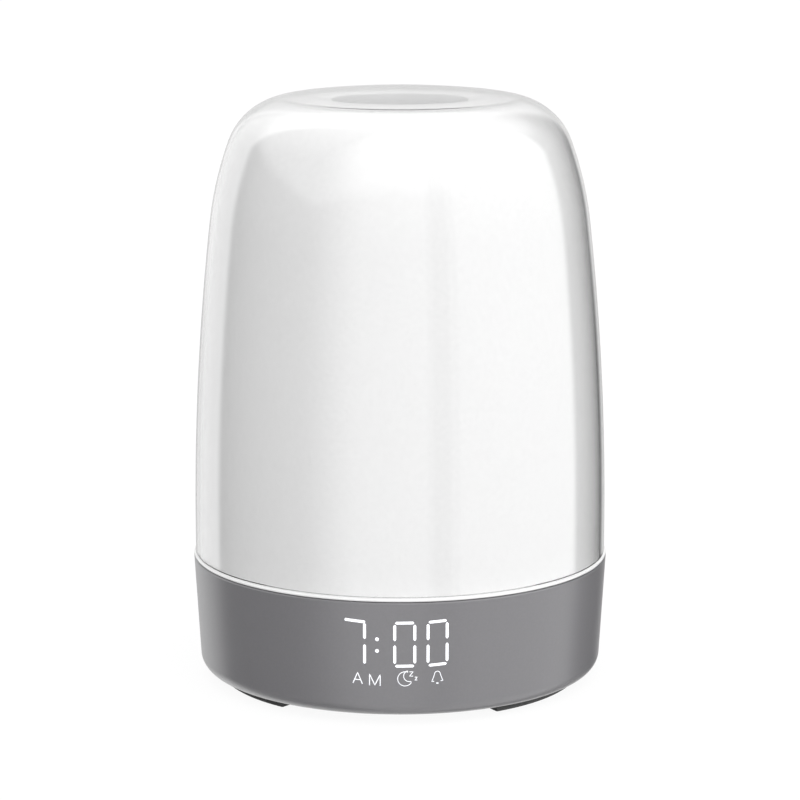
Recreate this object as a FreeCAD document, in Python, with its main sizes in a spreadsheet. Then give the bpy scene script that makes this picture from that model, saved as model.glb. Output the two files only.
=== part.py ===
import FreeCAD, Part
import math
import os
import Sketcher
from FreeCAD import Placement, Rotation, Vector

# Sunrise alarm clock: a tall clear-over-opal light shade on a tapered grey base with a
# glow-through clock display at the front (-Y) and a row of buttons at the back (+Y).
# The origin is under the axis, at the level the rubber feet stand on. Millimetres and degrees.

doc = FreeCAD.newDocument("sunrise_alarm_clock")
sheet = doc.addObject("Spreadsheet::Sheet", "Dims")

SIZES = (
    ("joint_radius", 55.2, "outer radius of the base where the shade meets it"),
    ("joint_level", 32.85, "height of the line between base and shade"),
    ("joint_gap", 0.15, "shadow gap between the base rim and the shade"),
    ("base_taper", 3.4, "lean of the base wall"),
    ("base_round", 4.2, "radius round the bottom edge of the base"),
    ("base_wall", 2.2, "thickness of the base wall"),
    ("foot_height", 2.0, "height of the rubber feet, and level of the underside"),
    ("cover_radius", 48.6, "radius of the plate that closes the underside"),
    ("cover_thick", 2.0, "thickness of that plate"),
    ("fit_gap", 0.3, "gap between pieces that slip together"),
    ("lip_radius", 46.6, "inner radius of the lip the plate is screwed up to"),
    ("lip_thick", 1.8, "thickness of that lip"),
    ("tray_ledge", 29.5, "level of the ledge that carries the light tray"),
    ("tray_ledge_radius", 50.2, "inner radius of that ledge"),
    ("tray_ledge_thick", 1.0, "thickness of that ledge"),
    ("shade_radius", 54.7, "radius of the straight foot of the shade"),
    ("shade_straight", 41.3, "level where the shade begins to lean in"),
    ("flank_radius", 704.0, "profile radius of the long flank"),
    ("flank_turn", 6.6, "turn of the flank"),
    ("brow_radius", 91.4, "profile radius of the upper flank"),
    ("brow_turn", 13.7, "turn of the upper flank"),
    ("shoulder_radius", 17.7, "profile radius of the shoulder"),
    ("shoulder_turn", 62.5, "turn of the shoulder"),
    ("clear_wall", 1.2, "thickness of the clear outer shell"),
    ("air_gap", 0.3, "air between the clear shell and the opal one"),
    ("opal_wall", 1.6, "thickness of the opal shell"),
    ("flange_height", 0.9, "height of the opal foot that the clear shell stands on"),
    ("bead_height", 0.8, "height of the rounded bead at the very bottom of the shade"),
    ("spigot_depth", 2.2, "how far the shade's spigot reaches down into the base"),
    ("touch_radius", 17.7, "radius of the touch plate"),
    ("touch_level", 153.7, "level of the touch plate's face, under the clear crown"),
    ("touch_thick", 1.5, "thickness of the touch plate"),
    ("dish_radius", 23.0, "outer radius of the shallow dish round the touch plate"),
    ("post_radius", 3.4, "radius of the hollow post under the touch plate"),
    ("post_bore", 2.4, "radius of its bore"),
    ("post_flare", 6.5, "radius of its foot"),
    ("tray_thick", 1.4, "thickness of the light tray's floor"),
    ("wire_hole", 3.0, "radius of the hole for the touch lead"),
    ("led_board_radius", 46.0, "radius of the lamp board"),
    ("board_thick", 1.6, "thickness of every circuit board"),
    ("led_side", 3.5, "side of a lamp package"),
    ("led_height", 1.2, "height of a lamp package"),
    ("white_ring", 36.0, "radius of the circle of white lamps"),
    ("sunrise_ring", 20.0, "radius of the circle of sunrise lamps"),
    ("main_board_radius", 37.5, "radius of the main board"),
    ("main_board_level", 16.0, "underside of the main board"),
    ("display_width", 35.0, "width of the light shroud behind the display"),
    ("display_low", 10.8, "bottom of the shroud"),
    ("display_high", 28.3, "top of the shroud"),
    ("window_wall", 1.0, "base wall left in front of the display"),
    ("display_back", 43.4, "distance of the display board's face from the axis"),
    ("digit_top", 27.87, "level of the top of the digits"),
    ("digit_height", 12.3, "height of a digit over its bars"),
    ("digit_width", 5.1, "distance between a digit's upright bars"),
    ("bar_width", 0.85, "width of a bar"),
    ("hour_ten_x", -11.5, "place of the hour digit across the display"),
    ("minute_ten_x", 1.2, "place of the first minute digit"),
    ("digit_step", 8.28, "distance between the two minute digits"),
    ("colon_x", -5.8, "place of the colon"),
    ("sign_level", 12.5, "level of the middle of the row of signs"),
    ("guide_depth", 3.2, "depth of the light guides"),
    ("button_level", 20.0, "height of the row of buttons"),
    ("button_pitch", 9.6, "distance between buttons"),
    ("button_width", 8.0, "width of a button cap"),
    ("button_height", 5.6, "height of a button cap"),
    ("button_proud", 0.5, "how far a cap stands out of the wall"),
    ("button_board", 40.0, "distance of the button board's face from the axis"),
    ("switch_side", 4.5, "side of a push switch"),
    ("switch_depth", 2.6, "depth of a push switch"),
    ("plunger_radius", 1.6, "radius of its plunger"),
    ("inlet_level", 9.2, "height of the power inlet's centre"),
    ("inlet_width", 8.94, "outer width of the inlet's metal shell"),
    ("inlet_height", 3.2, "outer height of that shell"),
    ("inlet_depth", 7.3, "depth of that shell"),
    ("inlet_face", 51.2, "distance of its mouth from the axis"),
    ("speaker_forward", 12.0, "distance of the speaker's centre in front of the axis"),
    ("speaker_radius", 17.5, "radius of the speaker"),
    ("grille_hole", 0.95, "radius of a hole of the speaker grille"),
    ("grille_step", 3.8, "distance between the circles of grille holes"),
    ("cell_back", 22.0, "distance of the coin cell's centre behind the axis"),
    ("cell_radius", 10.0, "radius of a 20 mm coin cell"),
    ("cell_thick", 3.2, "thickness of the coin cell"),
    ("well_height", 5.6, "height of the battery well above the cover"),
    ("well_wall", 1.4, "thickness of its wall"),
    ("cap_radius", 12.2, "radius of the twist-lock battery cap"),
    ("tab_reach", 1.2, "how far its tabs reach past its edge"),
    ("cap_twist", 40.0, "turn that frees the cap"),
    ("foot_outer", 48.3, "outer radius of the arc-shaped feet"),
    ("foot_inner", 42.0, "inner radius of the feet"),
    ("foot_span", 50.0, "angle that each foot covers"),
    ("foot_turn", -4.0, "turn of the feet pattern seen from above"),
    ("screw_ring", 44.2, "radius of the circle of cover screws"),
    ("screw_head", 2.4, "radius of a screw head"),
    ("screw_shank", 1.1, "radius of a screw shank"),
    ("boss_radius", 3.2, "radius of a screw boss"),
    ("boss_top", 9.6, "level of the top of the screw bosses"),
    ("post_side", 2.6, "radius of a board post"),
    ("ribbon_thick", 0.4, "thickness of a flat ribbon with its sleeve"),
)

for row, (alias, number, note) in enumerate(SIZES, start=1):
    sheet.set("A%d" % row, alias)
    sheet.set("B%d" % row, str(number))
    sheet.set("C%d" % row, note)
    sheet.setAlias("B%d" % row, alias)
doc.recompute()


class Size:
    """A length or angle: its value now, and the formula that ties it to the sheet."""

    def __init__(self, value, formula):
        self.value = value
        self.formula = formula

    def __add__(self, other):
        other = as_size(other)
        return Size(self.value + other.value, "(%s + %s)" % (self.formula, other.formula))

    def __sub__(self, other):
        other = as_size(other)
        return Size(self.value - other.value, "(%s - %s)" % (self.formula, other.formula))

    def __mul__(self, other):
        other = as_size(other)
        return Size(self.value * other.value, "(%s * %s)" % (self.formula, other.formula))

    def __truediv__(self, other):
        other = as_size(other)
        return Size(self.value / other.value, "(%s / %s)" % (self.formula, other.formula))

    def __radd__(self, other):
        return as_size(other) + self

    def __rsub__(self, other):
        return as_size(other) - self

    def __rmul__(self, other):
        return as_size(other) * self

    def __neg__(self):
        return as_size(0) - self


def as_size(number):
    if isinstance(number, Size):
        return number
    return Size(float(number), "(%.6f)" % number)


def dim(alias):
    return Size(float(getattr(sheet, alias)), "Dims." + alias)


def sine(angle):
    angle = as_size(angle)
    return Size(math.sin(math.radians(angle.value)), "sin(%s)" % angle.formula)


def cosine(angle):
    angle = as_size(angle)
    return Size(math.cos(math.radians(angle.value)), "cos(%s)" % angle.formula)


def root(size):
    return Size(math.sqrt(size.value), "sqrt(%s)" % size.formula)


def bind(item, prop, size):
    """Tie one property of an object to the sheet."""
    item.setExpression(prop, as_size(size).formula)


def place(item, x=0, y=0, z=0, axis=None, angle=0):
    """Put an object at x, y, z, turned by angle about axis."""
    if axis is not None:
        item.Placement = Placement(Vector(0, 0, 0), Rotation(Vector(*axis), as_size(angle).value))
    for letter, size in zip("xyz", (x, y, z)):
        bind(item, "Placement.Base." + letter, size)
    return item


# Sketches and features

def new_body(name):
    body = doc.addObject("PartDesign::Body", name)
    body.Label = name
    return body


def new_sketch(body, plane="XY_Plane", lift=None):
    """A sketch on one of the body's own origin planes, moved along its normal by lift."""
    sketch = body.newObject("Sketcher::SketchObject", body.Name + "_sketch")
    origin_plane = [f for f in body.Origin.OriginFeatures if f.Role == plane][0]
    sketch.AttachmentSupport = [(origin_plane, "")]
    sketch.MapMode = "FlatFace"
    if lift is not None:
        sketch.AttachmentOffset = Placement(Vector(0, 0, as_size(lift).value), Rotation())
        bind(sketch, "AttachmentOffset.Base.z", lift)
    return sketch


def pin_point(sketch, geo, spot, x, y):
    """Fix one point of a sketch at x, y by sizes tied to the sheet."""
    for kind, size, axis in (("DistanceX", as_size(x), -2), ("DistanceY", as_size(y), -1)):
        if abs(size.value) < 1e-9:
            sketch.addConstraint(Sketcher.Constraint("PointOnObject", geo, spot, axis))
        elif size.value > 0:
            index = sketch.addConstraint(
                Sketcher.Constraint(kind, -1, 1, geo, spot, size.value))
            bind(sketch, "Constraints[%d]" % index, size)
        else:
            index = sketch.addConstraint(
                Sketcher.Constraint(kind, geo, spot, -1, 1, -size.value))
            bind(sketch, "Constraints[%d]" % index, -size)


def arc_between(start, end, radius):
    """An arc from start to end: a radius over 0 turns left on the way, under 0 right."""
    chord = end - start
    half = chord.Length / 2
    side = Vector(-chord.y, chord.x, 0).normalize() * (1 if radius > 0 else -1)
    centre = start + chord * 0.5 + side * math.sqrt(max(radius * radius - half * half, 0))
    first = math.atan2(start.y - centre.y, start.x - centre.x)
    last = math.atan2(end.y - centre.y, end.x - centre.x)
    circle = Part.Circle(centre, Vector(0, 0, 1), abs(radius))
    if radius > 0:
        return Part.ArcOfCircle(circle, first, last), 1, 2
    return Part.ArcOfCircle(circle, last, first), 2, 1


def draw(sketch, points, bends=None):
    """A closed outline through points; bends gives the radius of a side that is an arc."""
    bends = bends or {}
    spots = [Vector(as_size(x).value, as_size(y).value, 0) for x, y in points]
    sides = []
    for index, start in enumerate(spots):
        end = spots[(index + 1) % len(spots)]
        if index in bends:
            curve, first, last = arc_between(start, end, as_size(bends[index]).value)
        else:
            curve, first, last = Part.LineSegment(start, end), 1, 2
        sides.append((sketch.addGeometry(curve, False), first, last))
    for index, (geo, first, last) in enumerate(sides):
        next_geo, next_first, _ = sides[(index + 1) % len(sides)]
        sketch.addConstraint(Sketcher.Constraint("Coincident", geo, last, next_geo, next_first))
    for index, (x, y) in enumerate(points):
        geo, first, _ = sides[index]
        pin_point(sketch, geo, first, x, y)
        if index in bends:
            radius = as_size(bends[index])
            radius = radius if radius.value > 0 else -radius
            row = sketch.addConstraint(Sketcher.Constraint("Radius", geo, radius.value))
            bind(sketch, "Constraints[%d]" % row, radius)


def draw_circle(sketch, x, y, radius):
    x, y, radius = as_size(x), as_size(y), as_size(radius)
    circle = Part.Circle(Vector(x.value, y.value, 0), Vector(0, 0, 1), radius.value)
    geo = sketch.addGeometry(circle, False)
    pin_point(sketch, geo, 3, x, y)
    row = sketch.addConstraint(Sketcher.Constraint("Radius", geo, radius.value))
    bind(sketch, "Constraints[%d]" % row, radius)


def draw_box(sketch, x0, y0, x1, y1):
    draw(sketch, [(x0, y0), (x1, y0), (x1, y1), (x0, y1)])


def draw_pill(sketch, x, y, width, height):
    """A slot with round ends, centred on x, y."""
    end = height / 2
    left = x - width / 2 + end
    right = x + width / 2 - end
    draw(sketch, [(left, y - end), (right, y - end), (right, y + end), (left, y + end)],
         {1: end * 1.0001, 3: end * 1.0001})


def pad(body, sketch, length, reverse=False, middle=False):
    feature = body.newObject("PartDesign::Pad", body.Name + "_pad")
    feature.Profile = sketch
    feature.Reversed = reverse
    feature.Midplane = middle
    bind(feature, "Length", length)
    return feature


def pocket(body, sketch, length, reverse=False):
    """A pocket, checked to have really taken material away."""
    doc.recompute()
    before = body.Shape.Volume
    feature = body.newObject("PartDesign::Pocket", body.Name + "_pocket")
    feature.Profile = sketch
    feature.Reversed = reverse
    bind(feature, "Length", length)
    doc.recompute()
    assert feature.Shape.Volume < before - 1e-6, body.Name + " pocket cuts nothing"
    return feature


def lathe(name, points, bends=None):
    """A turned piece: its outline in radius and height, spun about the vertical axis."""
    body = new_body(name)
    sketch = new_sketch(body, "XZ_Plane")
    draw(sketch, points, bends)
    spin = body.newObject("PartDesign::Revolution", name + "_spin")
    spin.Profile = sketch
    spin.ReferenceAxis = (sketch, ["V_Axis"])
    spin.Angle = 360
    return body


def plate(name, low, thick, draw_outline):
    """A flat piece: an outline drawn level and padded up from low."""
    body = new_body(name)
    sketch = new_sketch(body, "XY_Plane", low)
    draw_outline(sketch)
    pad(body, sketch, thick)
    return body


# Primitives and groups

def block(name, x, y, z, width, depth, height):
    """A box centred on x and y that stands on z."""
    box = doc.addObject("Part::Box", name)
    box.Label = name
    bind(box, "Length", width)
    bind(box, "Width", depth)
    bind(box, "Height", height)
    half_width = as_size(width) / 2
    half_depth = as_size(depth) / 2
    return place(box, as_size(x) - half_width, as_size(y) - half_depth, z)


def rod(name, x, y, z, radius, length, along="z"):
    """A cylinder that starts at x, y, z and runs up, or along +Y."""
    cylinder = doc.addObject("Part::Cylinder", name)
    cylinder.Label = name
    bind(cylinder, "Radius", radius)
    bind(cylinder, "Height", length)
    if along == "y":
        return place(cylinder, x, y, z, (1, 0, 0), -90)
    return place(cylinder, x, y, z)


def cone(name, low, high, low_radius, high_radius):
    solid = doc.addObject("Part::Cone", name)
    bind(solid, "Radius1", low_radius)
    bind(solid, "Radius2", high_radius)
    bind(solid, "Height", high - low)
    return place(solid, 0, 0, low)


def join(kind, name, first, second):
    """A cut, fuse or common of two solids."""
    result = doc.addObject("Part::" + kind, name)
    result.Base = first
    result.Tool = second
    result.Label = name
    return result


def fuse_all(name, solids):
    result = doc.addObject("Part::MultiFuse", name)
    result.Shapes = solids
    result.Label = name
    return result


def group(name, solids):
    """Separate solids that share one node."""
    result = doc.addObject("Part::Compound", name)
    result.Links = solids
    result.Label = name
    return result


def around(count, start=0.0):
    """Evenly spaced angles, in degrees anticlockwise from +X."""
    return [start + 360.0 * index / count for index in range(count)]


def polar(radius, angle):
    """The x and y of a point on a circle about the axis."""
    return radius * cosine(angle), radius * sine(angle)


# Shared levels and profiles

underside = dim("foot_height")
cover_top = underside + dim("cover_thick")
joint_level = dim("joint_level")
lean = sine(dim("base_taper")) / cosine(dim("base_taper"))


def wall_radius(level, inset=0):
    """The base wall's radius at a level, less an inset measured square to the wall."""
    return (dim("joint_radius") - as_size(inset) / cosine(dim("base_taper"))
            - (joint_level - as_size(level)) * lean)


def dome(inset, low, hole, hole_level=None):
    """The shade's profile inset by a wall: points from its foot up to a hole in the crown."""
    inset = as_size(inset)
    radius = dim("shade_radius") - inset
    level = dim("shade_straight")
    points = [(radius, low), (radius, level)]
    bends = []
    turned = as_size(0)
    for name in ("flank", "brow", "shoulder"):
        bend = dim(name + "_radius") - inset
        after = turned + dim(name + "_turn")
        radius = radius - bend * (cosine(turned) - cosine(after))
        level = level + bend * (sine(after) - sine(turned))
        points.append((radius, level))
        bends.append(bend)
        turned = after
    crown = radius / cosine(turned)
    centre = level - crown * sine(turned)
    top = centre + root(crown * crown - as_size(hole) * as_size(hole))
    points.append((hole, top))
    bends.append(crown)
    return points, bends


# Light shade

shell_inner = dim("clear_wall")
opal_outer = dim("clear_wall") + dim("air_gap")
opal_inner = opal_outer + dim("opal_wall")
flange_top = joint_level + dim("flange_height")
contact_gap = 0.1
cup_radius = dim("touch_radius") + dim("fit_gap")
dish_level = dim("touch_level") - 0.1
cup_level = dim("touch_level") - dim("touch_thick") - contact_gap


def shell_outline(outer, inner):
    """A closed outline and its arcs from an outer and an inner dome."""
    outer_points, outer_bends = outer
    inner_points, inner_bends = inner
    points = outer_points + inner_points[::-1]
    bends = {index + 1: bend for index, bend in enumerate(outer_bends)}
    first = len(outer_points)
    for index, bend in enumerate(inner_bends[::-1]):
        bends[first + index] = -bend
    return points, bends


clear_foot = flange_top + contact_gap
clear_points, clear_bends = shell_outline(dome(0, clear_foot, 0),
                                          dome(shell_inner, clear_foot, 0))
shade_cover = lathe("shade_cover", clear_points, clear_bends)

spigot_radius = wall_radius(joint_level, dim("base_wall")) - dim("fit_gap")
outer_opal = dome(opal_outer, flange_top, dim("dish_radius"))
inner_opal = dome(opal_inner, joint_level, dim("dish_radius") + 0.6)
bead_low = joint_level
bead_high = joint_level + dim("bead_height")
cup_under = cup_level - dim("opal_wall")
lead_hole = dim("post_bore") + 0.4
spigot_low = joint_level - dim("spigot_depth")
foot_points = [
    (spigot_radius - dim("opal_wall"), spigot_low),
    (spigot_radius, spigot_low),
    (spigot_radius, joint_level),
    (dim("shade_radius"), bead_low),
    (dim("shade_radius"), bead_high),
    (dim("shade_radius"), flange_top),
]
cup_points = [
    (cup_radius, dish_level),
    (cup_radius, cup_level),
    (lead_hole, cup_level),
    (lead_hole, cup_under),
    (cup_radius + dim("opal_wall"), cup_under),
    (cup_radius + dim("opal_wall"), dish_level - dim("opal_wall")),
]
opal_points = foot_points + outer_opal[0] + cup_points + inner_opal[0][::-1]
opal_bends = {3: dim("bead_height") / 2 * 1.0001}
arc_start = len(foot_points) + 1
for index, bend in enumerate(outer_opal[1]):
    opal_bends[arc_start + index] = bend
arc_start = len(foot_points) + len(outer_opal[0]) + len(cup_points)
for index, bend in enumerate(inner_opal[1][::-1]):
    opal_bends[arc_start + index] = -bend
opal_diffuser = lathe("opal_diffuser", opal_points, opal_bends)

touch_low = dim("touch_level") - dim("touch_thick")
touch_edge = as_size(0.3)
touch_plate = lathe("touch_plate", [
    (0, touch_low),
    (dim("touch_radius"), touch_low),
    (dim("touch_radius"), dim("touch_level") - touch_edge),
    (dim("touch_radius") - touch_edge, dim("touch_level")),
    (0, dim("touch_level")),
], {2: touch_edge})

# Light engine: tray, board, lamps and the post that carries the touch lead

tray_low = dim("tray_ledge")
tray_floor = tray_low + dim("tray_thick")
tray_radius = spigot_radius - 0.4
tray_edge = tray_low + 0.9
rim_radius = spigot_radius - dim("opal_wall") - 0.7
rim_top = tray_low + 2.8
rim_thick = 1.2
rim_slope = 1.4
wire_hole = dim("wire_hole")
reflector_tray = lathe("reflector_tray", [
    (wire_hole, tray_low),
    (tray_radius, tray_low),
    (tray_radius, tray_edge),
    (rim_radius, tray_edge),
    (rim_radius, rim_top),
    (rim_radius - rim_thick, rim_top),
    (rim_radius - rim_thick - rim_slope, tray_floor),
    (wire_hole, tray_floor),
])

lamp_level = tray_floor + dim("board_thick")


def led_board_outline(sketch):
    draw_circle(sketch, 0, 0, dim("led_board_radius"))
    draw_circle(sketch, 0, 0, wire_hole - 0.4)


led_board = plate("led_board", tray_floor, dim("board_thick"), led_board_outline)


def lamp_ring(name, count, radius):
    """Evenly spaced lamps, the first half a step round from +X."""
    lamps = []
    for index, angle in enumerate(around(count, 180.0 / count)):
        x, y = polar(radius, angle)
        lamps.append(block("%s_%d" % (name, index + 1), x, y, lamp_level,
                           dim("led_side"), dim("led_side"), dim("led_height")))
    return group(name, lamps)


white_leds = lamp_ring("white_leds", 12, dim("white_ring"))
sunrise_leds = lamp_ring("sunrise_leds", 8, dim("sunrise_ring"))

post_top = cup_under - 0.2
post_foot_top = lamp_level + 1.2
post_waist = lamp_level + 4.0
post_straight = lamp_level + 12.0
touch_post = lathe("touch_post", [
    (dim("post_bore"), lamp_level),
    (dim("post_flare"), lamp_level),
    (dim("post_flare"), post_foot_top),
    (dim("post_radius") + 1.0, post_waist),
    (dim("post_radius"), post_straight),
    (dim("post_radius"), post_top),
    (dim("post_bore"), post_top),
])

spring_wire = 0.35
spring_radius = 1.5
spring_pitch = 1.4
spring_sink = 4.5
spring_low = post_top.value - spring_sink
spring_high = touch_low.value - spring_wire
spring_path = Part.makeHelix(spring_pitch, spring_high - spring_low, spring_radius)
spring_path.translate(Vector(0, 0, spring_low))
spring_start = Vector(spring_radius, 0, spring_low)
spring_ring = Part.Wire(Part.Circle(spring_start, Vector(0, 1, 0), spring_wire).toShape())
touch_spring = doc.addObject("Part::Feature", "touch_spring")
touch_spring.Label = "touch_spring"
touch_spring.Shape = Part.Wire(spring_path.Edges).makePipeShell([spring_ring], True, True)

main_top = dim("main_board_level") + dim("board_thick")
lead_radius = 0.7
lead_end = as_size(spring_low - 0.5)
touch_lead = rod("touch_lead", 0, 0, main_top, lead_radius, lead_end - main_top)

# Base housing

wall_inner = dim("base_wall")
round_centre = wall_radius(underside + dim("base_round")) - dim("base_round") / cosine(
    dim("base_taper"))
round_top = (round_centre + dim("base_round") * cosine(dim("base_taper")),
             underside + dim("base_round") - dim("base_round") * sine(dim("base_taper")))
cover_hole = dim("cover_radius") + dim("fit_gap")
lip_low = cover_top + contact_gap
lip_top = lip_low + dim("lip_thick")
rim_level = joint_level - dim("joint_gap")
ledge_top = dim("tray_ledge") - 0.05
ledge_low = ledge_top - dim("tray_ledge_thick")

base_housing = lathe("base_housing", [
    (cover_hole, underside),
    (round_centre, underside),
    round_top,
    (wall_radius(rim_level), rim_level),
    (wall_radius(rim_level, wall_inner), rim_level),
    (wall_radius(ledge_top, wall_inner), ledge_top),
    (dim("tray_ledge_radius"), ledge_top),
    (dim("tray_ledge_radius"), ledge_low),
    (wall_radius(ledge_low, wall_inner), ledge_low),
    (wall_radius(lip_top, wall_inner), lip_top),
    (dim("lip_radius"), lip_top),
    (dim("lip_radius"), lip_low),
    (cover_hole, lip_low),
], {1: dim("base_round")})

screw_angles = around(3, 30.0 + dim("foot_turn").value)
boss_top = dim("boss_top")
boss_end = 0.6
thread_gap = 0.05
boss_sketch = new_sketch(base_housing, "XY_Plane", lip_low)
for angle in screw_angles:
    x, y = polar(dim("screw_ring"), angle)
    draw_circle(boss_sketch, x, y, dim("boss_radius"))
pad(base_housing, boss_sketch, boss_top - lip_low)

thread_sketch = new_sketch(base_housing, "XY_Plane", lip_low)
for angle in screw_angles:
    x, y = polar(dim("screw_ring"), angle)
    draw_circle(thread_sketch, x, y, dim("screw_shank") + thread_gap)
pocket(base_housing, thread_sketch, boss_top - lip_low - boss_end, reverse=True)

# The wall is thin in front of the display, so that the lit digits glow through it
window_half = dim("display_width") / 2 + 0.8
window_low = dim("display_low") - 0.5
window_high = dim("display_high") + 0.4
window_inset = wall_inner + 1.0
window_sketch = new_sketch(base_housing, "YZ_Plane")
draw(window_sketch, [
    (-wall_radius(window_low, dim("window_wall")), window_low),
    (-wall_radius(window_low, window_inset), window_low),
    (-wall_radius(window_high, window_inset), window_high),
    (-wall_radius(window_high, dim("window_wall")), window_high),
])
window_angle = 2 * math.degrees(math.asin(window_half.value / wall_radius(window_low).value))
doc.recompute()
solid_before = base_housing.Shape.Volume
window = base_housing.newObject("PartDesign::Groove", "display_window")
window.Profile = window_sketch
window.ReferenceAxis = (window_sketch, ["V_Axis"])
window.Angle = window_angle
window.Midplane = True
doc.recompute()
assert window.Shape.Volume < solid_before - 1, "the display window cuts nothing"

BUTTONS = ("time", "alarm", "down", "up", "light", "sound")
row_middle = (len(BUTTONS) - 1) / 2
button_places = [dim("button_pitch") * (index - row_middle) for index in range(len(BUTTONS))]
button_clear = 2 * dim("fit_gap")
hole_sketch = new_sketch(base_housing, "XZ_Plane")
for x in button_places:
    draw_pill(hole_sketch, x, dim("button_level"), dim("button_width") + button_clear,
              dim("button_height") + button_clear)
inlet_clear = 0.6
past_wall = 70
draw_pill(hole_sketch, as_size(0), dim("inlet_level"), dim("inlet_width") + inlet_clear,
          dim("inlet_height") + inlet_clear)
pocket(base_housing, hole_sketch, past_wall, reverse=False)

# Bottom cover with its grille, battery well and board posts

POSTS = ((-32, 6), (32, 6), (-22, -28), (22, -28))
cell_y = dim("cell_back")
speaker_y = -dim("speaker_forward")
well_inner = dim("cap_radius") + dim("tab_reach") + 0.7
well_outer = well_inner + dim("well_wall")
well_top = cover_top + dim("well_height")
through_cover = dim("cover_thick") + 0.1
cap_hole = dim("cap_radius") + dim("fit_gap")

bottom_cover = new_body("bottom_cover")
cover_sketch = new_sketch(bottom_cover, "XY_Plane", underside)
draw_circle(cover_sketch, 0, 0, dim("cover_radius"))
draw_circle(cover_sketch, 0, cell_y, cap_hole)
pad(bottom_cover, cover_sketch, dim("cover_thick"))

well_sketch = new_sketch(bottom_cover, "XY_Plane", cover_top)
draw_circle(well_sketch, 0, cell_y, well_outer)
draw_circle(well_sketch, 0, cell_y, well_inner)
for x, y in POSTS:
    draw_circle(well_sketch, x, y, dim("post_side"))
pad(bottom_cover, well_sketch, well_top - cover_top)

post_sketch = new_sketch(bottom_cover, "XY_Plane", cover_top)
for x, y in POSTS:
    draw_circle(post_sketch, x, y, dim("post_side"))
pad(bottom_cover, post_sketch, dim("main_board_level") - cover_top)

INLET_POSTS = ((-6.5, 43.0), (6.5, 43.0))
INLET_POST_RADIUS = 2.0
inlet_board_low = dim("inlet_level") - dim("inlet_height") / 2 - dim("board_thick")
inlet_sketch = new_sketch(bottom_cover, "XY_Plane", cover_top)
for x, y in INLET_POSTS:
    draw_circle(inlet_sketch, x, y, INLET_POST_RADIUS)
pad(bottom_cover, inlet_sketch, inlet_board_low - cover_top)

grille_sketch = new_sketch(bottom_cover, "XY_Plane", underside)
draw_circle(grille_sketch, 0, speaker_y, dim("grille_hole"))
for ring in (1, 2, 3):
    for angle in around(6 * ring):
        x, y = polar(dim("grille_step") * ring, angle)
        draw_circle(grille_sketch, x, speaker_y + y, dim("grille_hole"))
pocket(bottom_cover, grille_sketch, through_cover, reverse=True)

screw_hole_sketch = new_sketch(bottom_cover, "XY_Plane", underside)
for angle in screw_angles:
    x, y = polar(dim("screw_ring"), angle)
    draw_circle(screw_hole_sketch, x, y, dim("screw_shank") + dim("fit_gap"))
pocket(bottom_cover, screw_hole_sketch, through_cover, reverse=True)

head_sink = as_size(1.1)
sink_sketch = new_sketch(bottom_cover, "XY_Plane", underside)
for angle in screw_angles:
    x, y = polar(dim("screw_ring"), angle)
    draw_circle(sink_sketch, x, y, dim("screw_head") + dim("fit_gap"))
pocket(bottom_cover, sink_sketch, head_sink, reverse=True)

post_hole_low = cover_top + 4.0
past_posts = 20
post_hole_sketch = new_sketch(bottom_cover, "XY_Plane", post_hole_low)
for x, y in POSTS:
    draw_circle(post_hole_sketch, x, y, dim("screw_shank") + thread_gap)
pocket(bottom_cover, post_hole_sketch, past_posts, reverse=True)

# Half of the angle that a bayonet tab and the notch for it cover
TAB_HALF = 13.0
NOTCH_HALF = 15.0
TAB_START = 30.0
TAB_ROOT = 0.5


def sector(sketch, inner, outer, middle, half, x, y):
    """A piece of a ring about x, y, from middle - half to middle + half degrees."""
    corners = []
    for radius, angle in ((inner, middle - half), (outer, middle - half),
                          (outer, middle + half), (inner, middle + half)):
        across, along = polar(radius, angle)
        corners.append((as_size(x) + across, as_size(y) + along))
    draw(sketch, corners, {1: outer, 3: -as_size(inner)})


notch_sketch = new_sketch(bottom_cover, "XY_Plane", underside)
notch_outer = dim("cap_radius") + dim("tab_reach") + dim("fit_gap")
for angle in around(3, TAB_START):
    sector(notch_sketch, cap_hole - TAB_ROOT, notch_outer, as_size(angle) - dim("cap_twist"),
           NOTCH_HALF, 0, cell_y)
pocket(bottom_cover, notch_sketch, dim("cover_thick"), reverse=True)

# Battery cap with bayonet tabs and a coin slot

tab_low = cover_top + 0.2
tab_thick = as_size(0.9)
battery_cap = new_body("battery_cap")
cap_sketch = new_sketch(battery_cap, "XY_Plane", underside)
draw_circle(cap_sketch, 0, cell_y, dim("cap_radius"))
pad(battery_cap, cap_sketch, tab_low + tab_thick - underside)
tab_sketch = new_sketch(battery_cap, "XY_Plane", tab_low)
tab_outer = dim("cap_radius") + dim("tab_reach")
for angle in around(3, TAB_START):
    sector(tab_sketch, dim("cap_radius") - TAB_ROOT, tab_outer, angle, TAB_HALF, 0, cell_y)
pad(battery_cap, tab_sketch, tab_thick)
coin_slot_length = as_size(15.0)
coin_slot_width = as_size(1.8)
coin_slot_depth = 1.0
slot_sketch = new_sketch(battery_cap, "XY_Plane", underside)
draw_pill(slot_sketch, as_size(0), cell_y, coin_slot_length, coin_slot_width)
pocket(battery_cap, slot_sketch, coin_slot_depth, reverse=True)

coin_cell_low = tab_low + tab_thick + 0.3
cell_top = coin_cell_low + dim("cell_thick")
coin_cell = lathe("coin_cell", [
    (0, coin_cell_low),
    (dim("cell_radius") - 1.2, coin_cell_low),
    (dim("cell_radius") - 1.0, coin_cell_low + 0.5),
    (dim("cell_radius"), coin_cell_low + 0.7),
    (dim("cell_radius"), cell_top),
    (0, cell_top),
])
place(coin_cell, 0, cell_y, 0)

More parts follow.
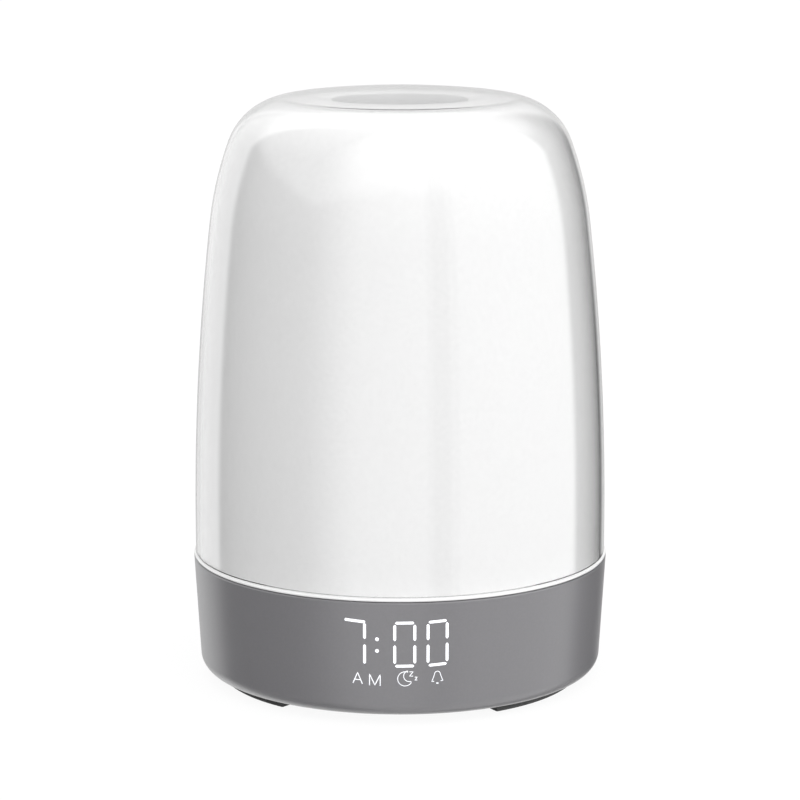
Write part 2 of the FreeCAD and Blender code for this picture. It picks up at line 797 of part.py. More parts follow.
clip_low = well_top
clip_width = 7
clip_thick = 0.5
dimple_radius = 2.0
clip_bar = block("clip_bar", 0, cell_y, clip_low, 2 * well_outer, clip_width, clip_thick)
clip_dimple = rod("clip_dimple", 0, cell_y, cell_top, dimple_radius, clip_low - cell_top + 0.2)
cell_clip = join("Fuse", "cell_clip", clip_bar, clip_dimple)

# Feet


def foot(name, middle):
    def outline(sketch):
        sector(sketch, dim("foot_inner"), dim("foot_outer"), middle, dim("foot_span") / 2,
               0, 0)
    return plate(name, as_size(0), dim("foot_height"), outline)


right_foot = foot("right_foot", dim("foot_turn") + -30)
left_foot = foot("left_foot", dim("foot_turn") + -150)
rear_foot = foot("rear_foot", dim("foot_turn") + 90)


# Screws: each has a domed head with a cross recess and a plain shank

HEAD_THICK = 1.0
HEAD_SHOULDER = 0.6
RECESS_DEPTH = 0.6


def screw(name, x, y, seat, length, up=True):
    """A screw whose head rests on seat; up means that its shank points up."""
    tip = as_size(HEAD_THICK) + length
    body = lathe(name, [
        (0, 0),
        (dim("screw_head") * 0.55, 0),
        (dim("screw_head"), HEAD_SHOULDER),
        (dim("screw_head"), HEAD_THICK),
        (dim("screw_shank"), HEAD_THICK),
        (dim("screw_shank"), tip),
        (0, tip),
    ])
    sketch = new_sketch(body, "XY_Plane", as_size(0))
    arm = 1.3
    half = 0.3
    draw(sketch, [
        (-half, -arm), (half, -arm), (half, -half), (arm, -half), (arm, half),
        (half, half), (half, arm), (-half, arm), (-half, half), (-arm, half),
        (-arm, -half), (-half, -half),
    ])
    pocket(body, sketch, RECESS_DEPTH, reverse=True)
    if up:
        return place(body, x, y, seat - HEAD_THICK)
    return place(body, x, y, seat + HEAD_THICK, (1, 0, 0), 180)


COVER_SCREW_LENGTH = 5.0
BOARD_SCREW_LENGTH = 6.0

cover_screw_list = []
for index, angle in enumerate(screw_angles):
    x, y = polar(dim("screw_ring"), angle)
    cover_screw_list.append(screw("cover_screw_%d" % (index + 1), x, y,
                                  underside + head_sink, COVER_SCREW_LENGTH))
cover_screws = group("cover_screws", cover_screw_list)

board_screw_list = []
for index, (x, y) in enumerate(POSTS):
    board_screw_list.append(screw("board_screw_%d" % (index + 1), as_size(x), as_size(y),
                                  main_top, BOARD_SCREW_LENGTH, up=False))
board_screws = group("board_screws", board_screw_list)

# Boards and what they carry


def main_board_outline(sketch):
    draw_circle(sketch, 0, 0, dim("main_board_radius"))
    for x, y in POSTS:
        draw_circle(sketch, x, y, dim("screw_shank") + 0.2)


main_board = plate("main_board", dim("main_board_level"), dim("board_thick"),
                   main_board_outline)

CHIP_X = 8.0
CHIP_Y = -12.0
CHIP_SIDE = 7.2
CHIP_HEIGHT = 1.5
LEG_STEP = 0.8
LEG_WIDTH = 0.4
LEG_LENGTH = 1.6
LEG_THICK = 0.5
LEG_REACH = 4.4
LEGS_PER_SIDE = 8

chip_legs = []
for side in range(4):
    for leg in range(LEGS_PER_SIDE):
        offset = (leg - (LEGS_PER_SIDE - 1) / 2) * LEG_STEP
        along_x = side % 2 == 0
        reach = LEG_REACH if side < 2 else -LEG_REACH
        x, y = (offset, reach) if along_x else (reach, offset)
        width, depth = (LEG_WIDTH, LEG_LENGTH) if along_x else (LEG_LENGTH, LEG_WIDTH)
        chip_legs.append(block("chip_leg_%d_%d" % (side + 1, leg + 1), x + CHIP_X, y + CHIP_Y,
                               main_top, width, depth, LEG_THICK))
chip_case = block("chip_case", CHIP_X, CHIP_Y, main_top, CHIP_SIDE, CHIP_SIDE, CHIP_HEIGHT)
controller_chip = fuse_all("controller_chip", [chip_case] + chip_legs)

# The crystal lies on the board; the cans, the choke and the sound amplifier stand on it
CRYSTAL = {"x": 20, "y": -9, "radius": 1.0, "length": 6.0}
CRYSTAL_LIFT = 1.1
CAN_PLACES = ((-14, 10), (-22, 12))
CAN_RADIUS = 3.2
CAN_HEIGHT = 7.5
CHOKE = {"x": -12, "y": -4, "width": 7, "depth": 7, "height": 3.5}
AMPLIFIER = {"x": -20, "y": -10, "width": 5, "depth": 4, "height": 1.5}

clock_crystal = rod("clock_crystal", z=main_top + CRYSTAL_LIFT, along="y", **CRYSTAL)
cans = [rod("smoothing_can_%d" % (index + 1), x, y, main_top, CAN_RADIUS, CAN_HEIGHT)
        for index, (x, y) in enumerate(CAN_PLACES)]
power_parts = group("power_parts", cans + [
    block("choke", z=main_top, **CHOKE),
    block("sound_amplifier", z=main_top, **AMPLIFIER),
])

display_board_face = -dim("display_back")
board_margin = 1.5
display_board = block("display_board", 0, display_board_face + dim("board_thick") / 2,
                      dim("display_low"), dim("display_width") + 2 * board_margin,
                      dim("board_thick"), dim("display_high") - dim("display_low"))

# Segment windows of four digit places: the first is only a 1
digit_low = dim("digit_top") - dim("digit_height")
digit_mid = digit_low + dim("digit_height") / 2
bar_long = dim("digit_width") - dim("bar_width") * 1.7
upright_long = dim("digit_height") / 2 - dim("bar_width") * 1.1


def digit_bars(centre, only_right=False):
    """The seven bars of a digit: x, z, width and height of each."""
    half = dim("digit_width") / 2
    bars = []
    for level in (digit_low + dim("bar_width") / 2, digit_mid,
                  dim("digit_top") - dim("bar_width") / 2):
        bars.append((centre, level, bar_long, dim("bar_width")))
    for side in (-1, 1):
        for half_way in (-1, 1):
            bars.append((centre + half * side, digit_mid + dim("digit_height") / 4 * half_way,
                         dim("bar_width"), upright_long))
    return bars[-2:] if only_right else bars


COLON_LEVELS = (19.9, 23.0)
COLON_SIDE = 1.1
SIGN_PLACES = (-10.7, -6.4, 1.4, 9.5)
SIGN_WIDTH = 3.2
SIGN_HEIGHT = 2.6
CELL_CLEAR = 0.1
SHROUD_DEPTH = 12
GUIDE_BACK = 0.2

segments = digit_bars(dim("hour_ten_x"))
segments += digit_bars(dim("minute_ten_x"))
segments += digit_bars(dim("minute_ten_x") + dim("digit_step"))
for level in COLON_LEVELS:
    segments.append((dim("colon_x"), as_size(level), as_size(COLON_SIDE), as_size(COLON_SIDE)))
for x in SIGN_PLACES:
    segments.append((as_size(x), dim("sign_level"), as_size(SIGN_WIDTH), as_size(SIGN_HEIGHT)))

shroud_front = dim("window_wall") + dim("fit_gap")
shroud_box = new_body("shroud_box")
shroud_sketch = new_sketch(shroud_box, "XZ_Plane", dim("display_back"))
draw_box(shroud_sketch, -dim("display_width") / 2, dim("display_low"),
         dim("display_width") / 2, dim("display_high"))
pad(shroud_box, shroud_sketch, SHROUD_DEPTH)
cell_sketch = new_sketch(shroud_box, "XZ_Plane", dim("display_back"))
for x, z, width, height in segments:
    draw_box(cell_sketch, x - width / 2 - CELL_CLEAR, z - height / 2 - CELL_CLEAR,
             x + width / 2 + CELL_CLEAR, z + height / 2 + CELL_CLEAR)
pocket(shroud_box, cell_sketch, SHROUD_DEPTH, reverse=True)
shroud_cone = cone("shroud_cone", dim("display_low"), dim("display_high"),
                   wall_radius(dim("display_low"), shroud_front),
                   wall_radius(dim("display_high"), shroud_front))
display_shroud = join("Common", "display_shroud", shroud_box, shroud_cone)

guide_middle = display_board_face - GUIDE_BACK - dim("guide_depth")
guides = [block("light_guide_%d" % (index + 1), x, guide_middle,
                z - height / 2, width, dim("guide_depth"), height)
          for index, (x, z, width, height) in enumerate(segments)]
segment_guides = group("segment_guides", guides)

# Buttons: caps that follow the curved wall, all pressed straight in towards one board

board_face = dim("button_board")
board_height = 13
button_board = block("button_board", 0, board_face - dim("board_thick") / 2,
                     dim("button_level") - board_height / 2,
                     len(BUTTONS) * dim("button_pitch") + board_margin,
                     dim("board_thick"), board_height)
switch_face = board_face + dim("switch_depth")
press = 0.5
skin_reach = 6
cap_low = dim("button_level") - skin_reach
cap_high = dim("button_level") + skin_reach
proud = -dim("button_proud")
flange_outside = wall_inner + 0.35
flange_inside = flange_outside + 0.9
flange_wider = 1.2
flange_higher = 2.0
stem_radius = 1.4
plunger_sink = 1.2
plunger_length = 2.0


def skin(name, outer_inset, inner_inset):
    """A curved skin parallel to the base wall, at the height of the buttons."""
    outer = cone(name + "_outer", cap_low, cap_high, wall_radius(cap_low, outer_inset),
                 wall_radius(cap_high, outer_inset))
    inner = cone(name + "_inner", cap_low, cap_high, wall_radius(cap_low, inner_inset),
                 wall_radius(cap_high, inner_inset))
    return join("Cut", name, outer, inner)


def pill_bar(name, x, width, height):
    """A bar with round ends that runs along +Y from the switches out through the wall."""
    body = new_body(name)
    sketch = new_sketch(body, "XZ_Plane", -(switch_face - 2))
    draw_pill(sketch, x, dim("button_level"), width, height)
    past_skin = 20
    pad(body, sketch, past_skin, reverse=True)
    return body


for name, x in zip(BUTTONS, button_places):
    cap_bar = pill_bar(name + "_cap_bar", x, dim("button_width"), dim("button_height"))
    cap = join("Common", name + "_cap", cap_bar, skin(name + "_cap_skin", proud, flange_inside))
    flange_bar = pill_bar(name + "_flange_bar", x, dim("button_width") + flange_wider,
                          dim("button_height") + flange_higher)
    rim = join("Common", name + "_rim", flange_bar,
               skin(name + "_rim_skin", flange_outside, flange_inside))
    plunger_face = switch_face + 0.8
    stem_end = root(wall_radius(dim("button_level"), flange_inside - 0.4)
                    * wall_radius(dim("button_level"), flange_inside - 0.4) - x * x)
    stem = rod(name + "_stem", x, plunger_face + 0.05, dim("button_level"), stem_radius,
               stem_end - plunger_face, "y")
    fuse_all(name + "_button", [cap, rim, stem])
    rod(name + "_plunger", x, switch_face - plunger_sink, dim("button_level"),
        dim("plunger_radius"), plunger_length, "y")

switches = []
for name, x in zip(BUTTONS, button_places):
    case = block(name + "_switch_case", x, board_face + dim("switch_depth") / 2,
                 dim("button_level") - dim("switch_side") / 2, dim("switch_side"),
                 dim("switch_depth"), dim("switch_side"))
    bore = rod(name + "_switch_bore", x, switch_face - plunger_sink - press - 0.1,
               dim("button_level"), dim("plunger_radius") + 0.15, 3, "y")
    switches.append(join("Cut", name + "_switch", case, bore))
push_switches = group("push_switches", switches)

# Power inlet: a metal shell with a tongue, on its own small board

inlet_back = dim("inlet_face") - dim("inlet_depth")
inlet_board_back = inlet_back - 3.2
inlet_board_front = dim("inlet_face") - 1.5
inlet_board_width = 17
inlet_board = block("inlet_board", 0, (inlet_board_back + inlet_board_front) / 2,
                    inlet_board_low, inlet_board_width, inlet_board_front - inlet_board_back,
                    dim("board_thick"))
inlet_shell = new_body("inlet_shell")
shell_sketch = new_sketch(inlet_shell, "XZ_Plane", -inlet_back)
draw_pill(shell_sketch, as_size(0), dim("inlet_level"), dim("inlet_width"),
          dim("inlet_height"))
pad(inlet_shell, shell_sketch, dim("inlet_depth"), reverse=True)
mouth_sketch = new_sketch(inlet_shell, "XZ_Plane", -dim("inlet_face"))
two_walls = 0.6
back_wall = 1
draw_pill(mouth_sketch, as_size(0), dim("inlet_level"), dim("inlet_width") - two_walls,
          dim("inlet_height") - two_walls)
pocket(inlet_shell, mouth_sketch, dim("inlet_depth") - back_wall, reverse=True)
tongue_width = 6.6
tongue_length = 4.4
tongue_thick = 0.7
inlet_tongue = block("inlet_tongue", 0, inlet_back + back_wall + tongue_length / 2,
                     dim("inlet_level") - tongue_thick / 2, tongue_width, tongue_length,
                     tongue_thick)

# Speaker, facing down over the grille

gasket_low = cover_top
frame_low = gasket_low + 0.6
gasket_inner = dim("speaker_radius") - 2.6
gasket_outer = dim("speaker_radius") - 0.2
speaker_gasket = lathe("speaker_gasket", [
    (gasket_inner, gasket_low),
    (gasket_outer, gasket_low),
    (gasket_outer, frame_low),
    (gasket_inner, frame_low),
])
place(speaker_gasket, 0, speaker_y, 0)
basket_top = frame_low + 4.4
speaker_frame = lathe("speaker_frame", [
    (dim("speaker_radius") - 2.2, frame_low),
    (dim("speaker_radius"), frame_low),
    (dim("speaker_radius"), frame_low + 1.0),
    (dim("speaker_radius") - 1.6, frame_low + 1.0),
    (10.5, basket_top),
    (5.6, basket_top),
    (5.6, basket_top - 0.8),
    (10.0, basket_top - 0.8),
    (dim("speaker_radius") - 2.2, frame_low + 0.9),
])
place(speaker_frame, 0, speaker_y, 0)
speaker_magnet = lathe("speaker_magnet", [
    (0, basket_top - 1.6),
    (4.2, basket_top - 1.6),
    (4.2, basket_top + 0.4),
    (5.4, basket_top + 0.4),
    (5.4, basket_top),
    (9.6, basket_top),
    (9.6, basket_top + 4.6),
    (0, basket_top + 4.6),
])
place(speaker_magnet, 0, speaker_y, 0)
coil_inner = 4.45
coil_outer = 4.85
cone_rim = dim("speaker_radius") - 2.8
speaker_cone = lathe("speaker_cone", [
    (0, frame_low + 1.7),
    (coil_inner, frame_low + 1.9),
    (cone_rim, frame_low + 0.3),
    (cone_rim, frame_low + 0.6),
    (coil_outer, frame_low + 2.2),
    (coil_outer, frame_low + 3.6),
    (coil_inner, frame_low + 3.6),
    (coil_inner, frame_low + 2.2),
    (0, frame_low + 2.0),
])
place(speaker_cone, 0, speaker_y, 0)
wire_radius = 0.5
wire_low = frame_low + 3.7
wire_length = dim("main_board_level") - wire_low
speaker_lead = group("speaker_lead", [
    rod("speaker_wire_1", -12.5, speaker_y, wire_low, wire_radius, wire_length),
    rod("speaker_wire_2", 12.5, speaker_y, wire_low, wire_radius, wire_length),
])


# Flat ribbons from the display board and the button board to the main board

def ribbon(name, start_y, start_z, end_y, width):
    """A ribbon that leaves a board level, slopes down and lies flat on the main board."""
    body = new_body(name)
    sketch = new_sketch(body, "YZ_Plane")
    thick = dim("ribbon_thick")
    bend_y = (start_y + end_y) / 2
    draw(sketch, [
        (start_y, start_z), (bend_y, start_z), (end_y, main_top + thick),
        (end_y * 0.92, main_top + thick), (end_y * 0.92, main_top),
        (end_y * 1.005, main_top), (bend_y, start_z - thick * 1.4), (start_y, start_z - thick),
    ])
    pad(body, sketch, width, middle=True)
    return body


ribbon_level = as_size(20.5)
ribbon_end = dim("main_board_radius") - 1.0
display_ribbon = ribbon("display_ribbon", display_board_face + dim("board_thick"),
                        ribbon_level, -ribbon_end, 12)
button_ribbon = ribbon("button_ribbon", board_face - dim("board_thick"), ribbon_level,
                       ribbon_end, 10)

doc.recompute()

NODES = [
    "shade_cover", "opal_diffuser", "touch_plate", "touch_spring", "touch_post", "touch_lead",
    "reflector_tray", "led_board", "white_leds", "sunrise_leds", "base_housing",
    "bottom_cover", "battery_cap", "coin_cell", "cell_clip", "right_foot", "left_foot",
    "rear_foot", "cover_screws", "board_screws", "main_board", "controller_chip",
    "clock_crystal", "power_parts", "display_board", "display_shroud", "segment_guides",
    "display_ribbon", "button_board", "push_switches", "button_ribbon", "inlet_board",
    "inlet_shell", "inlet_tongue", "speaker_gasket", "speaker_frame", "speaker_magnet",
    "speaker_cone", "speaker_lead",
]
for name in BUTTONS:
    NODES.append(name + "_button")
    NODES.append(name + "_plunger")

for item in doc.Objects:
    assert "Invalid" not in item.State and "Error" not in item.State, (
        "%s failed: %s" % (item.Label, item.State))

by_label = {item.Label: item for item in doc.Objects}
os.makedirs("parts", exist_ok=True)
for name in NODES:
    shape = by_label[name].Shape
    assert not shape.isNull() and shape.isValid(), name + " has no valid shape"
    shape.exportStep("parts/%s.step" % name)
    print("%-18s %2d solids %10.1f mm3" % (name, len(shape.Solids), shape.Volume))
print(len(NODES), "nodes")
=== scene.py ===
import math

import bpy
from mathutils import Matrix, Vector


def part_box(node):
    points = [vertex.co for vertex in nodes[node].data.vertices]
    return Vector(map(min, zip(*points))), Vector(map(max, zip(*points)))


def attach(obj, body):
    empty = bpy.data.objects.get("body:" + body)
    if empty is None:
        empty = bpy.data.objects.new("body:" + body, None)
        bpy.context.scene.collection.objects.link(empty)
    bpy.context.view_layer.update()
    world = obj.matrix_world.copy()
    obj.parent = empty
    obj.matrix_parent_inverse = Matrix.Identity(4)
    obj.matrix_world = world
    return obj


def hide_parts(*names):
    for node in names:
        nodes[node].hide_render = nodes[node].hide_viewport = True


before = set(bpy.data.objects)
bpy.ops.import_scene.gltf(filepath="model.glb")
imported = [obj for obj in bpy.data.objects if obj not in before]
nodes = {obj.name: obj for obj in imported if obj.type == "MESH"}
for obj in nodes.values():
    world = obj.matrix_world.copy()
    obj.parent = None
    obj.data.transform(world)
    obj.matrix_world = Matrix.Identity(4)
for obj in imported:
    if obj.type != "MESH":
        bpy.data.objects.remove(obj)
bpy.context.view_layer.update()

MM = 0.001
SPIN_STEPS = 192
FIT_GAP = 0.3
CONTACT_GAP = 0.1

# Sizes in mm that the frame's boxes don't give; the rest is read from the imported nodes.
# The taper of the base and the span of a foot are in degrees.
BASE_TAPER = 3.4
BASE_ROUND = 4.2
BASE_WALL = 2.2
LEDGE_RADIUS = 50.2
LEDGE_TOP = 29.45
LEDGE_LOW = 28.45
LIP_RADIUS = 46.6
LIP_TOP = 5.9
LIP_LOW = 4.1
JOINT_LEVEL = 32.85
JOINT_RADIUS = 55.2
SHADE_RADIUS = 54.7
SHADE_STRAIGHT = 41.3
# Radius, turn in degrees and steps of the flank, the brow and the shoulder of the shade
SHADE_BENDS = ((704.0, 6.6, 24), (91.4, 13.7, 16), (17.7, 62.5, 28))
CROWN_STEPS = 14
CLEAR_WALL = 1.2
AIR_GAP = 0.3
OPAL_WALL = 1.6
FLANGE_HEIGHT = 0.9
BEAD_HEIGHT = 0.8
LEAD_HOLE = 2.8
# The shallow dish round the touch plate: its outer radius, and where its underside ends
DISH_RADIUS = 23.0
DISH_UNDER = 23.6
FOOT_INNER = 42.0
FOOT_OUTER = 48.3
FOOT_SPAN = 50.0
# Bearing of the middle of each foot, anticlockwise from +X
FOOT_BEARINGS = {
    "right_foot": math.radians(-34),
    "left_foot": math.radians(-154),
    "rear_foot": math.radians(86),
}


def low(node, axis):
    """The lowest x, y or z of a CAD node, in mm."""
    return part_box(node)[0]["xyz".index(axis)] / MM


def high(node, axis):
    """The highest x, y or z of a CAD node, in mm."""
    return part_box(node)[1]["xyz".index(axis)] / MM


def middle(node, axis):
    """Half way between the two, in mm."""
    return (low(node, axis) + high(node, axis)) / 2


BUTTONS = ("time", "alarm", "down", "up", "light", "sound")
CAP_WIDTH = 8.0
CAP_HEIGHT = 5.6
CAP_PROUD = 0.5
INLET_WIDTH = 9.54
INLET_HEIGHT = 3.8


# Modelling by hand


def deselect():
    """Leave edit mode with nothing selected."""
    if bpy.context.object and bpy.context.object.mode != "OBJECT":
        bpy.ops.object.mode_set(mode="OBJECT")
    bpy.ops.object.select_all(action="DESELECT")


def pick(obj):
    """Select one object alone and make it active."""
    deselect()
    obj.select_set(True)
    bpy.context.view_layer.objects.active = obj
    return obj


def named(name):
    """Name the active object and its mesh."""
    obj = bpy.context.object
    obj.name = name
    obj.data.name = name
    return obj


def settle(obj):
    """Put the object's place and size into its mesh, so the object is at the origin."""
    pick(obj)
    bpy.ops.object.transform_apply(location=True, rotation=True, scale=True)
    return obj


def smooth(obj, degrees=30):
    """Shade smooth, except over edges sharper than an angle."""
    pick(obj)
    bpy.ops.object.shade_smooth_by_angle(angle=math.radians(degrees))
    return obj


def modify(obj, kind, **settings):
    """Add a modifier and apply it."""
    pick(obj)
    modifier = obj.modifiers.new(kind.lower(), kind)
    for key, value in settings.items():
        setattr(modifier, key, value)
    bpy.ops.object.modifier_apply(modifier=modifier.name)
    return obj


def bevel(obj, width, segments, degrees=60):
    """Round the edges that are sharper than an angle, by a width in mm."""
    return modify(obj, "BEVEL", width=width * MM, segments=segments, limit_method="ANGLE",
                  angle_limit=math.radians(degrees))


def edge_chain(path):
    """A chain of edges through points given as x and z in mm."""
    deselect()
    bpy.ops.mesh.primitive_plane_add(size=MM)
    bpy.ops.object.mode_set(mode="EDIT")
    bpy.ops.mesh.select_mode(type="VERT")
    bpy.ops.mesh.select_all(action="SELECT")
    bpy.ops.mesh.merge(type="CENTER")
    spots = [Vector((x * MM, 0, z * MM)) for x, z in path]
    bpy.ops.transform.translate(value=spots[0])
    for first, second in zip(spots, spots[1:]):
        bpy.ops.mesh.extrude_region_move(TRANSFORM_OT_translate={"value": second - first})
    bpy.ops.object.mode_set(mode="OBJECT")
    return bpy.context.object


def lathe(name, points, degrees=30):
    """A turned piece: a profile of radius and height in mm, spun about the vertical axis."""
    edge_chain(points)
    obj = named(name)
    bpy.ops.object.mode_set(mode="EDIT")
    bpy.ops.mesh.select_all(action="SELECT")
    bpy.ops.mesh.spin(steps=SPIN_STEPS, angle=math.tau, center=(0, 0, 0), axis=(0, 0, 1))
    bpy.ops.mesh.select_all(action="SELECT")
    bpy.ops.mesh.remove_doubles(threshold=0.002 * MM)
    bpy.ops.mesh.normals_make_consistent(inside=False)
    return smooth(obj, degrees)


def oval(x, z, radius_x, radius_z, start, end, steps):
    """Points on a part of an ellipse, in mm, from start to end degrees."""
    points = []
    for step in range(steps + 1):
        angle = math.radians(start + (end - start) * step / steps)
        points.append((x + radius_x * math.cos(angle), z + radius_z * math.sin(angle)))
    return points


def arc(x, z, radius, start, end, steps):
    """Points on an arc, in mm, from start to end degrees."""
    return oval(x, z, radius, radius, start, end, steps)


def dome(inset, foot, hole):
    """The shade's profile, inset by a wall, from its foot up to a hole in the crown."""
    radius = SHADE_RADIUS - inset
    level = SHADE_STRAIGHT
    points = [(radius, foot), (radius, (foot + level) / 2)]
    turned = 0.0
    for bend, turn, steps in SHADE_BENDS:
        bend -= inset
        centre_x = radius - bend * math.cos(math.radians(turned))
        centre_z = level - bend * math.sin(math.radians(turned))
        points += arc(centre_x, centre_z, bend, turned, turned + turn, steps)
        radius, level = points[-1]
        turned += turn
        points.pop()
    crown = radius / math.cos(math.radians(turned))
    centre_z = level - crown * math.sin(math.radians(turned))
    last = math.degrees(math.acos(hole / crown))
    return points + arc(0, centre_z, crown, turned, last, CROWN_STEPS)


def wall_radius(level, inset=0.0):
    """The base wall's radius at a level, less an inset square to the wall."""
    taper = math.radians(BASE_TAPER)
    return JOINT_RADIUS - inset / math.cos(taper) - (JOINT_LEVEL - level) * math.tan(taper)


# Materials


def linear(code):
    """Linear colour from an sRGB hex value."""
    parts = [int(code[i:i + 2], 16) / 255 for i in (1, 3, 5)]
    return [c / 12.92 if c <= 0.04045 else ((c + 0.055) / 1.055) ** 2.4 for c in parts] + [1.0]


def add(tree, kind, links=None, **settings):
    """Add a node: settings are its properties, links its inputs' values or sources."""
    node = tree.nodes.new(kind)
    for key, value in settings.items():
        setattr(node, key, value)
    for key, value in (links or {}).items():
        if isinstance(value, bpy.types.NodeSocket):
            tree.links.new(value, node.inputs[key])
        else:
            node.inputs[key].default_value = value
    return node


def material(name, **shader):
    """A material and its tree, with constants set on the shader's own sockets."""
    made = bpy.data.materials.new(name)
    made.use_nodes = True
    tree = made.node_tree
    base = tree.nodes["Principled BSDF"]
    for key, value in shader.items():
        base.inputs[key.replace("_", " ")].default_value = value
    return made, tree, base


# The part of its range that a noise really fills
NOISE_SPAN = (0.3, 0.7)


def grains(tree, base, size, detail=2.0, colours=None, relief=None, **inputs):
    """Let a surface vary over grains of about size mm.

    It varies between two colours, by bumps of a strength and a height in mm, or by other
    inputs of the shader, each between two values.
    """
    place = add(tree, "ShaderNodeTexCoord").outputs["Object"]
    noise = add(tree, "ShaderNodeTexNoise", {
        "Vector": place, "Scale": 1 / (size * MM), "Detail": detail, "Roughness": 0.5})
    grain = noise.outputs["Fac"]
    if colours:
        ramp = add(tree, "ShaderNodeValToRGB", {"Fac": grain})
        for stop, position, code in zip(ramp.color_ramp.elements, NOISE_SPAN, colours):
            stop.position = position
            stop.color = linear(code)
        tree.links.new(ramp.outputs["Color"], base.inputs["Base Color"])
    if relief:
        bump = add(tree, "ShaderNodeBump", {
            "Height": grain, "Strength": relief[0], "Distance": relief[1] * MM})
        tree.links.new(bump.outputs["Normal"], base.inputs["Normal"])
    for key, (least, most) in inputs.items():
        spread = add(tree, "ShaderNodeMapRange", {
            "Value": grain, "From Min": NOISE_SPAN[0], "From Max": NOISE_SPAN[1],
            "To Min": least, "To Max": most})
        tree.links.new(spread.outputs["Result"], base.inputs[key.replace("_", " ")])


def acrylic_clear():
    """Polished clear acrylic: sharp reflections over whatever is behind it.

    Light that falls through it is let straight by, as a thin clear wall does.
    """
    made, tree, base = material("acrylic_clear", Base_Color=linear("#fcfcfc"), IOR=1.49,
                                Roughness=0.015, Transmission_Weight=1.0)
    path = add(tree, "ShaderNodeLightPath").outputs
    lit = add(tree, "ShaderNodeMath", {0: path["Is Shadow Ray"], 1: path["Is Diffuse Ray"]},
              operation="MAXIMUM")
    open_way = add(tree, "ShaderNodeBsdfTransparent", {"Color": linear("#fbfbfb")})
    mix = add(tree, "ShaderNodeMixShader", {
        0: lit.outputs[0], 1: base.outputs[0], 2: open_way.outputs[0]})
    tree.links.new(mix.outputs[0], tree.nodes["Material Output"].inputs["Surface"])
    return made


def acrylic_opal():
    """Opal acrylic, moulded with a gloss: white with the faintest mottle of its pigment."""
    made, tree, base = material("acrylic_opal", IOR=1.49, Roughness=0.12)
    grains(tree, base, 1.1, 4.0, colours=("#eeeeee", "#f2f2f2"))
    return made


def abs_satin_grey():
    """Grey ABS under a satin lacquer: soft broad highlights, brighter towards its edges."""
    made, tree, base = material("abs_satin_grey", IOR=1.52, Coat_Weight=0.5,
                                Coat_Roughness=0.3, Coat_IOR=1.5)
    grains(tree, base, 0.6, 3.0, colours=("#757477", "#78777a"))
    grains(tree, base, 0.35, 1.0, relief=(0.05, 0.002))
    grains(tree, base, 0.8, 3.0, Roughness=(0.29, 0.33))
    return made


def touch_lacquer():
    """Satin lacquer over an aluminium disc: mid grey with a very fine tooth."""
    made, tree, base = material("satin_lacquer", IOR=1.5)
    grains(tree, base, 0.5, 3.0, colours=("#8a8a8b", "#8f8f90"))
    grains(tree, base, 0.3, relief=(0.1, 0.004))
    grains(tree, base, 0.8, 3.0, Roughness=(0.3, 0.38))
    return made


def display_glow(name, strength):
    """Display light seen through the thinned wall: near white, lit from within."""
    made, tree, base = material(name, Base_Color=linear("#d8dade"), Roughness=0.4,
                                Emission_Color=linear("#f6f7fb"))
    grains(tree, base, 1.5, Emission_Strength=(strength - 0.05, strength + 0.05))
    return made


def finish(name, colours, size, gloss, relief=0.0, **shader):
    """A finish whose colour, gloss and relief vary over grains of about size mm."""
    made, tree, base = material(name, **shader)
    grains(tree, base, size, 3.0, colours=colours)
    grains(tree, base, size * 1.7, 3.0, Roughness=gloss)
    if relief:
        grains(tree, base, size * 0.6, 3.0, relief=(0.4, relief))
    return made


def striped(name, colours, pitch, share, gloss, **shader):
    """Stripes along Y at a pitch in mm: colours are between and on them."""
    made, tree, base = material(name, **shader)
    place = add(tree, "ShaderNodeTexCoord").outputs["Object"]
    across = add(tree, "ShaderNodeSeparateXYZ", {"Vector": place}).outputs["X"]
    cycle = add(tree, "ShaderNodeMath", {0: across, 1: pitch * MM}, operation="DIVIDE")
    part = add(tree, "ShaderNodeMath", {0: cycle.outputs[0]}, operation="FRACT")
    line = add(tree, "ShaderNodeMath", {0: part.outputs[0], 1: share}, operation="LESS_THAN")
    mix = add(tree, "ShaderNodeMix", {"Factor": line.outputs[0], "A": linear(colours[0]),
                                      "B": linear(colours[1])}, data_type="RGBA")
    tree.links.new(mix.outputs["Result"], base.inputs["Base Color"])
    grains(tree, base, 0.8, Roughness=gloss)
    return made


def circuit_board():
    """Solder mask over glass epoxy: glossy green, with copper tracks showing as paler lines."""
    made, tree, base = material("solder_mask_green", IOR=1.55)
    place = add(tree, "ShaderNodeTexCoord").outputs["Object"]
    tracks = add(tree, "ShaderNodeTexBrick", {
        "Vector": place, "Color1": linear("#17532f"), "Color2": linear("#1a5a34"),
        "Mortar": linear("#2f7d4e"), "Scale": 1.0, "Mortar Size": 0.2 * MM,
        "Brick Width": 4.5 * MM, "Row Height": 1.1 * MM})
    tree.links.new(tracks.outputs["Color"], base.inputs["Base Color"])
    grains(tree, base, 1.0, Roughness=(0.22, 0.34))
    return made


def lamp_package(name, node, body, cap):
    """A lamp in a moulded package: phosphor near its top face, its case on the sides."""
    made, tree, base = material(name, IOR=1.45)
    up = add(tree, "ShaderNodeSeparateXYZ", {
        "Vector": add(tree, "ShaderNodeTexCoord").outputs["Object"]}).outputs["Z"]
    face_depth = 0.1
    face = add(tree, "ShaderNodeMath", {0: up, 1: (high(node, "z") - face_depth) * MM},
               operation="GREATER_THAN")
    mix = add(tree, "ShaderNodeMix", {"Factor": face.outputs[0], "A": linear(body),
                                      "B": linear(cap)}, data_type="RGBA")
    tree.links.new(mix.outputs["Result"], base.inputs["Base Color"])
    grains(tree, base, 0.5, Roughness=(0.3, 0.5))
    return made


# Pieces

flange_top = JOINT_LEVEL + FLANGE_HEIGHT


